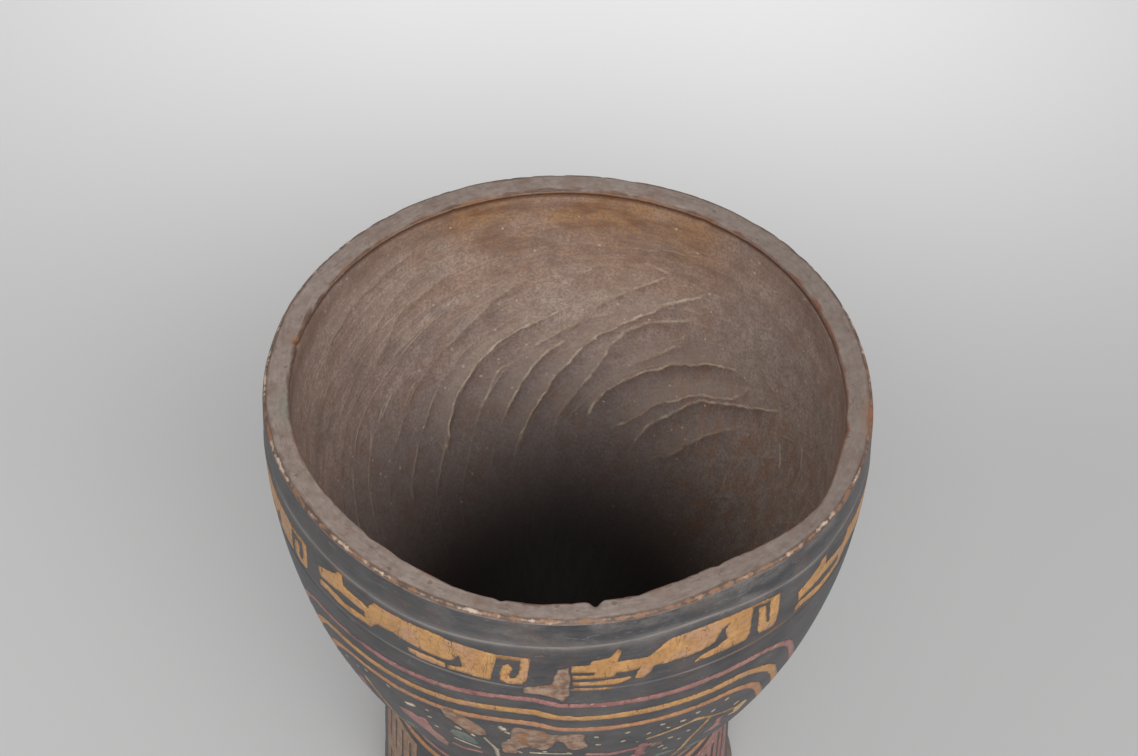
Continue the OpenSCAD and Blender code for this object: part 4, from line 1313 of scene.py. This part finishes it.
def make_rim_wood():
    """The flat of the rim: dry grey-brown wood with dust, and worn edges that show tan and red-brown."""
    wood = Finish("rim_wood")
    place = wood.place
    x = wood.parts(place)[0]
    along = round_the_axis(wood, 18.0)
    grain = wood.clouds(along, 1.5, 0.35, 0.68)
    dust = wood.clouds(along, 0.8, 0.42, 0.7)
    specks = wood.specks(place, 1.8, 0.02)
    to_outer = wood.value("to_outer_edge")
    to_inner = wood.value("to_inner_edge")
    wood.colour = wood.mix(wood.clouds(place, 11.0, 0.35, 0.66), "877469", "95857b")
    wood.coat(grain * 0.4, "9b8d83")
    wood.coat(dust * 0.35, "aaa09a")
    wood.coat(wood.clouds(place, 2.6, 0.42, 0.64) * 0.32, "6a5b53")
    wood.coat(wood.clouds(wood.moved(7.0, 3.0, 90.0), 9.0, 0.54, 0.68) * 0.35, "7c5c49")
    wood.coat(wood.hair_lines(along, 3.0, 0.014) * 0.5, "54453c")
    wood.coat(specks * 0.5, "5e4a40")
    # painted shade darkening the right side of the rim
    wood.coat(wood.between(x, 10.0, 64.0) * 0.3, "6a605b")
    wood.coat(wood.worn_edge(along, 2.0, to_outer, 1.3) * 0.6, "5a4238")
    wood.coat(wood.between(to_outer, 1.4, 0.4) * 0.65, "4f3c33")
    chip_tone = wood.mix(wood.clouds(place, 8.0, 0.46, 0.62), "8f6a50", "ceb7a2")
    wood.coat(wood.worn_edge(place, 2.2, to_outer, 0.6) * 0.9, chip_tone)
    lip_tone = wood.mix(wood.clouds(place, 14.0, 0.46, 0.62), "5b4034", "8a5f47")
    lip_tone = wood.mix(wood.between(x, 30.0, 60.0), lip_tone, "7c4b31")
    wood.coat(wood.worn_edge(along, 2.2, to_inner, 0.8) * 0.8, lip_tone)
    wood.coat(wood.value("rust") * (dust * 0.5 + 0.5), "94603c")
    wood.coat(wood.value("green_stain") * 0.35, "6f7a68")
    return wood.done(grain * 0.2 + 0.55, grain * 0.5 + specks * -0.5, 0.12)


def gouge_course(wood, x, y, drop):
    """How far a place lies across its stroke, the stroke's own number, and a position along the strokes."""
    azimuth = wood.math("DEGREES", wood.math("ARCTAN2", x, y * -1.0))
    lean = wood.math("DIVIDE", STROKE_BEND, drop + STROKE_LEAD)
    turned = (azimuth + lean) * -1.0
    count = turned * (STROKES / TURN) + wood.value("stroke_sway")
    count = wood.noise(wood.place, 2.4, 3.0, 0.6) * 0.16 + count
    stroke = wood.math("FLOORED_MODULO", wood.math("FLOOR", count), STROKES)
    own = wood.signal("ShaderNodeTexWhiteNoise", {"W": stroke}, "Value", noise_dimensions="1D")
    angle = wood.math("RADIANS", turned)
    along = wood.joined(wood.math("COSINE", angle) * MOUTH_RADIUS, wood.math("SINE", angle) * MOUTH_RADIUS)
    along = wood.vector("MULTIPLY_ADD", wood.place, (0.22, 0.22, 0.22), along)
    return wood.math("FRACT", count), own, along


def coat_hollow(wood, x, drop, broad, at_right):
    """The tones of the hollow without its marks: patches, blotches, upright fibres and the warm top."""
    place = wood.place
    wood.colour = wood.mix(broad, "b09588", "c2ab9e")
    wood.coat(wood.clouds(place, 17.0, 0.52, 0.68) * 0.6, "8d8580")
    wood.coat(wood.between(drop, 42.0, 80.0), "938581")
    wood.coat(wood.between(x, 22.0, 62.0) * wood.between(drop, 12.0, 28.0) * 0.7, "b0a299")
    wood.coat(wood.value("smudge") * wood.noise(place, 4.0), "6f7072")
    mottle = wood.clouds(place, 4.5, 0.4, 0.62)
    wood.coat(mottle * 0.36, "7c6960")
    wood.coat(wood.clouds(wood.moved(13.0, 57.0, 29.0), 11.0, 0.5, 0.66) * 0.35, "8f6a57")
    wood.coat(wood.clouds(wood.stretched(1.0, 1.0, 0.1), 2.6, 0.48, 0.64) * at_right * 0.6, "a5795a")
    blotch = wood.value("blotch") * (mottle * -0.5 + 1.0)
    wood.coat_by_sign(blotch, 0.5, "cdbbae", 0.5, "5f4f49")
    at_lip = wood.between(drop, 18.0, 7.0) * 0.55
    behind = wood.between(abs(x), 70.0, 30.0)
    near_rim = wood.between(drop, 52.0, 8.0)
    warm = wood.clouds(wood.stretched(0.6, 0.6, 1.3), 12.0, 0.3, 0.66)
    warm_share = (warm * 0.6 + 0.24 + at_lip * 0.4) * near_rim * wood.math("MAXIMUM", behind, at_lip)
    warm_tone = wood.mix(wood.clouds(wood.stretched(0.5, 0.5, 1.4), 6.5, 0.36, 0.68), "b08661", "83593b")
    wood.coat(warm_share, wood.mix(behind, "7d6252", warm_tone))


def crest_line(wood):
    """Pale ragged lines along the crests, a painted highlight where their ridges catch the light."""
    ragged_edge = wood.noise(wood.place, 2.2, 3.0, 0.65) - 0.5
    broken = wood.clouds(wood.place, 5.0, 0.34, 0.56)
    lines = []
    for i in range(2):
        offset = ragged_edge * 1.5 + wood.value(f"crest_offset_{i}")
        lines.append(wood.between(abs(offset), 0.65, 0.2) * wood.value(f"crest_bold_{i}"))
    return wood.math("MAXIMUM", *lines) * (broken * 0.65 + 0.35)


def make_inside_wood():
    """The gouged hollow: warm near the rim, grey-brown below it, and nearly black at the bottom from painted
    shade of the deep hollow over dark residue.
    """
    wood = Finish("gouged_inside")
    place = wood.place
    x, y, z = wood.parts(place)
    drop = z * -1.0 + CUP_HEIGHT
    share, own, along = gouge_course(wood, x, y, drop)
    at_right = wood.between(x, 12.0, 46.0) * wood.between(drop, 34.0, 60.0)
    coat_hollow(wood, x, drop, wood.clouds(along, 7.0, 0.36, 0.66), at_right)
    streaks = wood.clouds(along, 1.6, 0.36, 0.68)
    suede = wood.clouds(place, 0.9, 0.38, 0.64)
    wood.coat(streaks * 0.06, "b8a595")
    wood.coat(suede * 0.55, "7a6961")
    wood.coat(wood.hair_lines(along, 2.2, 0.018) * 0.16, "c4b09c")

    there = wood.clouds(place, 9.0, 0.42, 0.58)
    strength = wood.value("stroke_strength") * (there * 0.85 + 0.15) * (own * 0.75 + 0.25)
    # painted shade just past each gouge stroke's step, and painted light rising towards its crest
    wood.coat(wood.between(share, 0.24, 0.02) * wood.between(share, 0.0, 0.02) * strength * 0.5, "57443b")
    wood.coat(wood.between(share, 0.5, 0.95) * strength * 0.22, "b39d8c")
    # painted highlight on the crest of each gouge stroke
    crest = wood.between(share, 0.9, 0.97) * strength
    wood.coat(crest * 0.95, "d6c1ac")
    # painted light above left of the crests and painted shade below right of them
    wood.coat_by_sign(wood.value("crest_painted_light_and_shade"), 0.35, "bda999", 0.4, "57463f")
    line = crest_line(wood)
    # painted highlight along the crest lines
    wood.coat(line, wood.mix(wood.clouds(place, 7.0, 0.4, 0.6), "b2957d", "d9c6b2"))

    scratches = wood.hair_lines(wood.stretched(1.0, 1.0, 0.5), 4.5, 0.008)
    wood.coat(scratches * wood.between(drop, 56.0, 84.0) * 0.5, "bcab9b")
    hairs = wood.hair_lines(wood.stretched(1.0, 1.0, 0.2), 3.2, 0.014)
    wood.coat(hairs * at_right * 0.5, "c7ad96")
    wood.coat(wood.specks(place, 1.1, 0.008) * 0.6, "d3c3b2")
    # painted shade: darker with depth and towards the middle, standing in for the hollow's shadow, over some
    # dark residue at the bottom
    wood.coat(wood.between(abs(x) * -0.14 + drop, 56.0, 124.0), "1f1a19")
    lip = wood.worn_edge(place, 2.4, wood.value("to_inner_edge"), 0.8)
    wood.coat(lip * 0.75, wood.mix(wood.between(y, 20.0, 60.0), "6a4a39", "a8784f"))
    under_lip = wood.between(drop, LIP_LINE_DROP + 1.1, LIP_LINE_DROP) * wood.between(drop, 0.9, 1.7)
    wood.coat(under_lip * 0.75, "4a2c1f")
    wood.coat(wood.value("rust") * 0.8, "a5623a")
    height = streaks * 0.05 + wood.math("MAXIMUM", crest, line) * 0.8 + suede * -0.3
    return wood.done(streaks * 0.15 + 0.6, height, 0.14, shine=0.2)


def make_resin(name, tone, light, other, dark, fleck):
    """Old resin: mottled in lumps, with specks and fine cracks, and browned along its edges."""
    resin = Finish(name)
    place = resin.place
    fine = resin.clouds(place, 1.5, 0.42, 0.68)
    worn = resin.clouds(resin.stretched(0.5, 0.5, 1.5), 2.6, 0.55, 0.72)
    cracks = resin.hair_lines(resin.stretched(1.6, 1.6, 0.35), 3.4, 0.014)
    resin.colour = resin.mix(resin.clouds(place, 9.0, 0.38, 0.62), tone, light)
    resin.coat(resin.clouds(resin.moved(40.0, 11.0, 23.0), 12.0, 0.48, 0.64) * 0.7, other)
    resin.coat(fine * 0.35, dark)
    resin.coat(worn * 0.5, "7b6a5f")
    resin.coat(resin.specks(place, 1.6, 0.09) * 0.5, fleck)
    resin.coat(resin.worn_edge(place, 1.4, resin.value("to_edge"), 0.35) * 0.7, dark)
    resin.coat(cracks * 0.7, "3a2c26")
    return resin.done(worn * 0.2 + 0.48, fine * 0.35 - cracks + worn * -0.4, 0.1)


# The cup

for make_group in (make_clouds, make_hair_lines, make_specks, make_worn_edge):
    make_group()
ochre = make_resin("ochre_resin", "b4844f", "c6955b", "b48c70", "7c5836", "a0553a")
straw = make_resin("straw_resin", "b5925f", "cdb083", "b98f62", "84633f", "a0683f")
tan = make_resin("tan_resin", "94745b", "a3846a", "8a6552", "5e4534", "7a4a38")
red = make_resin("red_resin", "8d5b57", "a6756f", "a07a6d", "63403c", "c8a498")
orange = make_resin("orange_resin", "b07a52", "bd8a5e", "aa7c66", "7a5236", "98563c")
cream = make_resin("cream_resin", "cbbfa9", "ddd2c0", "a79b8c", "93816a", "8a6a4c")
green = make_resin("green_resin", "5c665f", "6f7b72", "7e8070", "424a44", "8a8a70")

make_cup_body([make_outer_ground(), make_rim_wood(), make_inside_wood()])
make_pumas(ochre)
make_rainbows([("red_resin", red), ("ochre_resin", ochre), ("orange_resin", orange)])
make_rain_dots("cream_resin", cream)
make_sprigs(straw, red, green)
make_panels([
    ("ochre_resin", tan, upright_cuts),
    ("green_resin", green, stepped_cuts),
    ("red_resin", red, slanted_cuts),
])
make_rings(red, orange, ochre)


# The stage: a pale floor, one soft lamp in front, a soft room and the camera

FLOOR_REACH = 3.0
KEY_PLACE = (0.2, -1.2, 1.12)
KEY_SIZE = 1.3
KEY_POWER = 19.0
KEY_AIM = (0.0, 0.0, 0.15)
SKY_STRENGTH = 0.48


def make_floor():
    """Pale paper with painted light: a brighter pool behind the cup, painted shade towards the sides and a
    lighter left near the cup; the pool also glows for the camera and for what mirrors it.
    """
    reach = FLOOR_REACH
    corners = [(-reach, -reach, 0), (reach, -reach, 0), (reach, reach, 0), (-reach, reach, 0)]
    paper = Finish("pale_floor")
    x, y, _ = paper.parts(paper.place)
    beside = paper.between(abs(x), 60.0, 420.0)
    # painted light: a pool behind the cup, with painted shade towards the sides
    light = paper.between(y, 120.0, 480.0) * (beside * -0.6 + 1.0)
    # painted light on the left of the floor near the cup
    near_tone_with_painted_light = paper.mix(paper.between(x, 150.0, -250.0), "c7c7c7", "d2d2d2")
    paper.feed(paper.shader["Base Color"], paper.mix(light, near_tone_with_painted_light, "f4f4f4"))
    rays = paper.add("ShaderNodeLightPath").outputs
    seen = Signal(paper, rays["Is Camera Ray"])
    for mirrored in ("Is Glossy Ray", "Is Transmission Ray"):
        seen = paper.math("MAXIMUM", seen, Signal(paper, rays[mirrored]))
    # the pool of painted light glows for camera and mirror rays, though the floor is no lamp
    paper.feed(paper.shader["Emission Color"], paper.mix(light * seen, "000000", "7c7c7c"))
    paper.shader["Emission Strength"].default_value = 1.0
    paper.shader["Roughness"].default_value = 0.9
    floor = add_mesh("studio_floor", corners, [(0, 1, 2, 3)], [paper.material], [False])


def add_lamp():
    """One soft square lamp that points at the cup."""
    lamp = bpy.data.lights.new("key_lamp", "AREA")
    lamp.shape = "SQUARE"
    lamp.size = KEY_SIZE
    lamp.energy = KEY_POWER
    holder = bpy.data.objects.new("key_lamp", lamp)
    holder.location = KEY_PLACE
    towards = Vector(KEY_AIM) - Vector(KEY_PLACE)
    holder.rotation_euler = towards.to_track_quat("-Z", "Y").to_euler()
    bpy.context.scene.collection.objects.link(holder)


# The photograph's frame in pixels, and the camera that fits the cup's rim and outline in it
FRAME_WIDTH = 1138
FRAME_HEIGHT = 756
FOCAL_PIXELS = 2200.0
RIM_MIDDLE_X = 570.6
RIM_MIDDLE_Y = 375.7
VIEW_ELEVATION = math.radians(46.45)
VIEW_ROLL = math.radians(1.70)
VIEW_DISTANCE = 0.6107


def add_camera():
    """Looks at the middle of the rim, which the picture holds at a known pixel."""
    forward = Vector((0, math.cos(VIEW_ELEVATION), -math.sin(VIEW_ELEVATION)))
    level, rise = Vector((1, 0, 0)), Vector((0, math.sin(VIEW_ELEVATION), math.cos(VIEW_ELEVATION)))
    c, s = math.cos(VIEW_ROLL), math.sin(VIEW_ROLL)
    right, up = c * level + s * rise, c * rise - s * level
    to_rim = forward + right * (RIM_MIDDLE_X - FRAME_WIDTH / 2) / FOCAL_PIXELS
    to_rim = to_rim + up * (FRAME_HEIGHT / 2 - RIM_MIDDLE_Y) / FOCAL_PIXELS
    eye = Vector((0, 0, CUP_HEIGHT * MM)) - to_rim * VIEW_DISTANCE
    lens = bpy.data.cameras.new("camera")
    lens.sensor_fit = "HORIZONTAL"
    lens.lens = FOCAL_PIXELS * lens.sensor_width / FRAME_WIDTH
    camera = bpy.data.objects.new("camera", lens)
    turn = Matrix((right, up, -forward)).transposed().to_4x4()
    camera.matrix_world = Matrix.Translation(eye) @ turn
    bpy.context.scene.collection.objects.link(camera)
    bpy.context.scene.camera = camera


def set_sky():
    world = bpy.data.worlds.new("soft_room")
    world.use_nodes = True
    sky = world.node_tree.nodes["Background"]
    sky.inputs["Color"].default_value = (1, 1, 1, 1)
    sky.inputs["Strength"].default_value = SKY_STRENGTH
    bpy.context.scene.world = world
    bpy.context.scene.view_settings.view_transform = "Standard"


make_floor()
add_lamp()
add_camera()
set_sky()
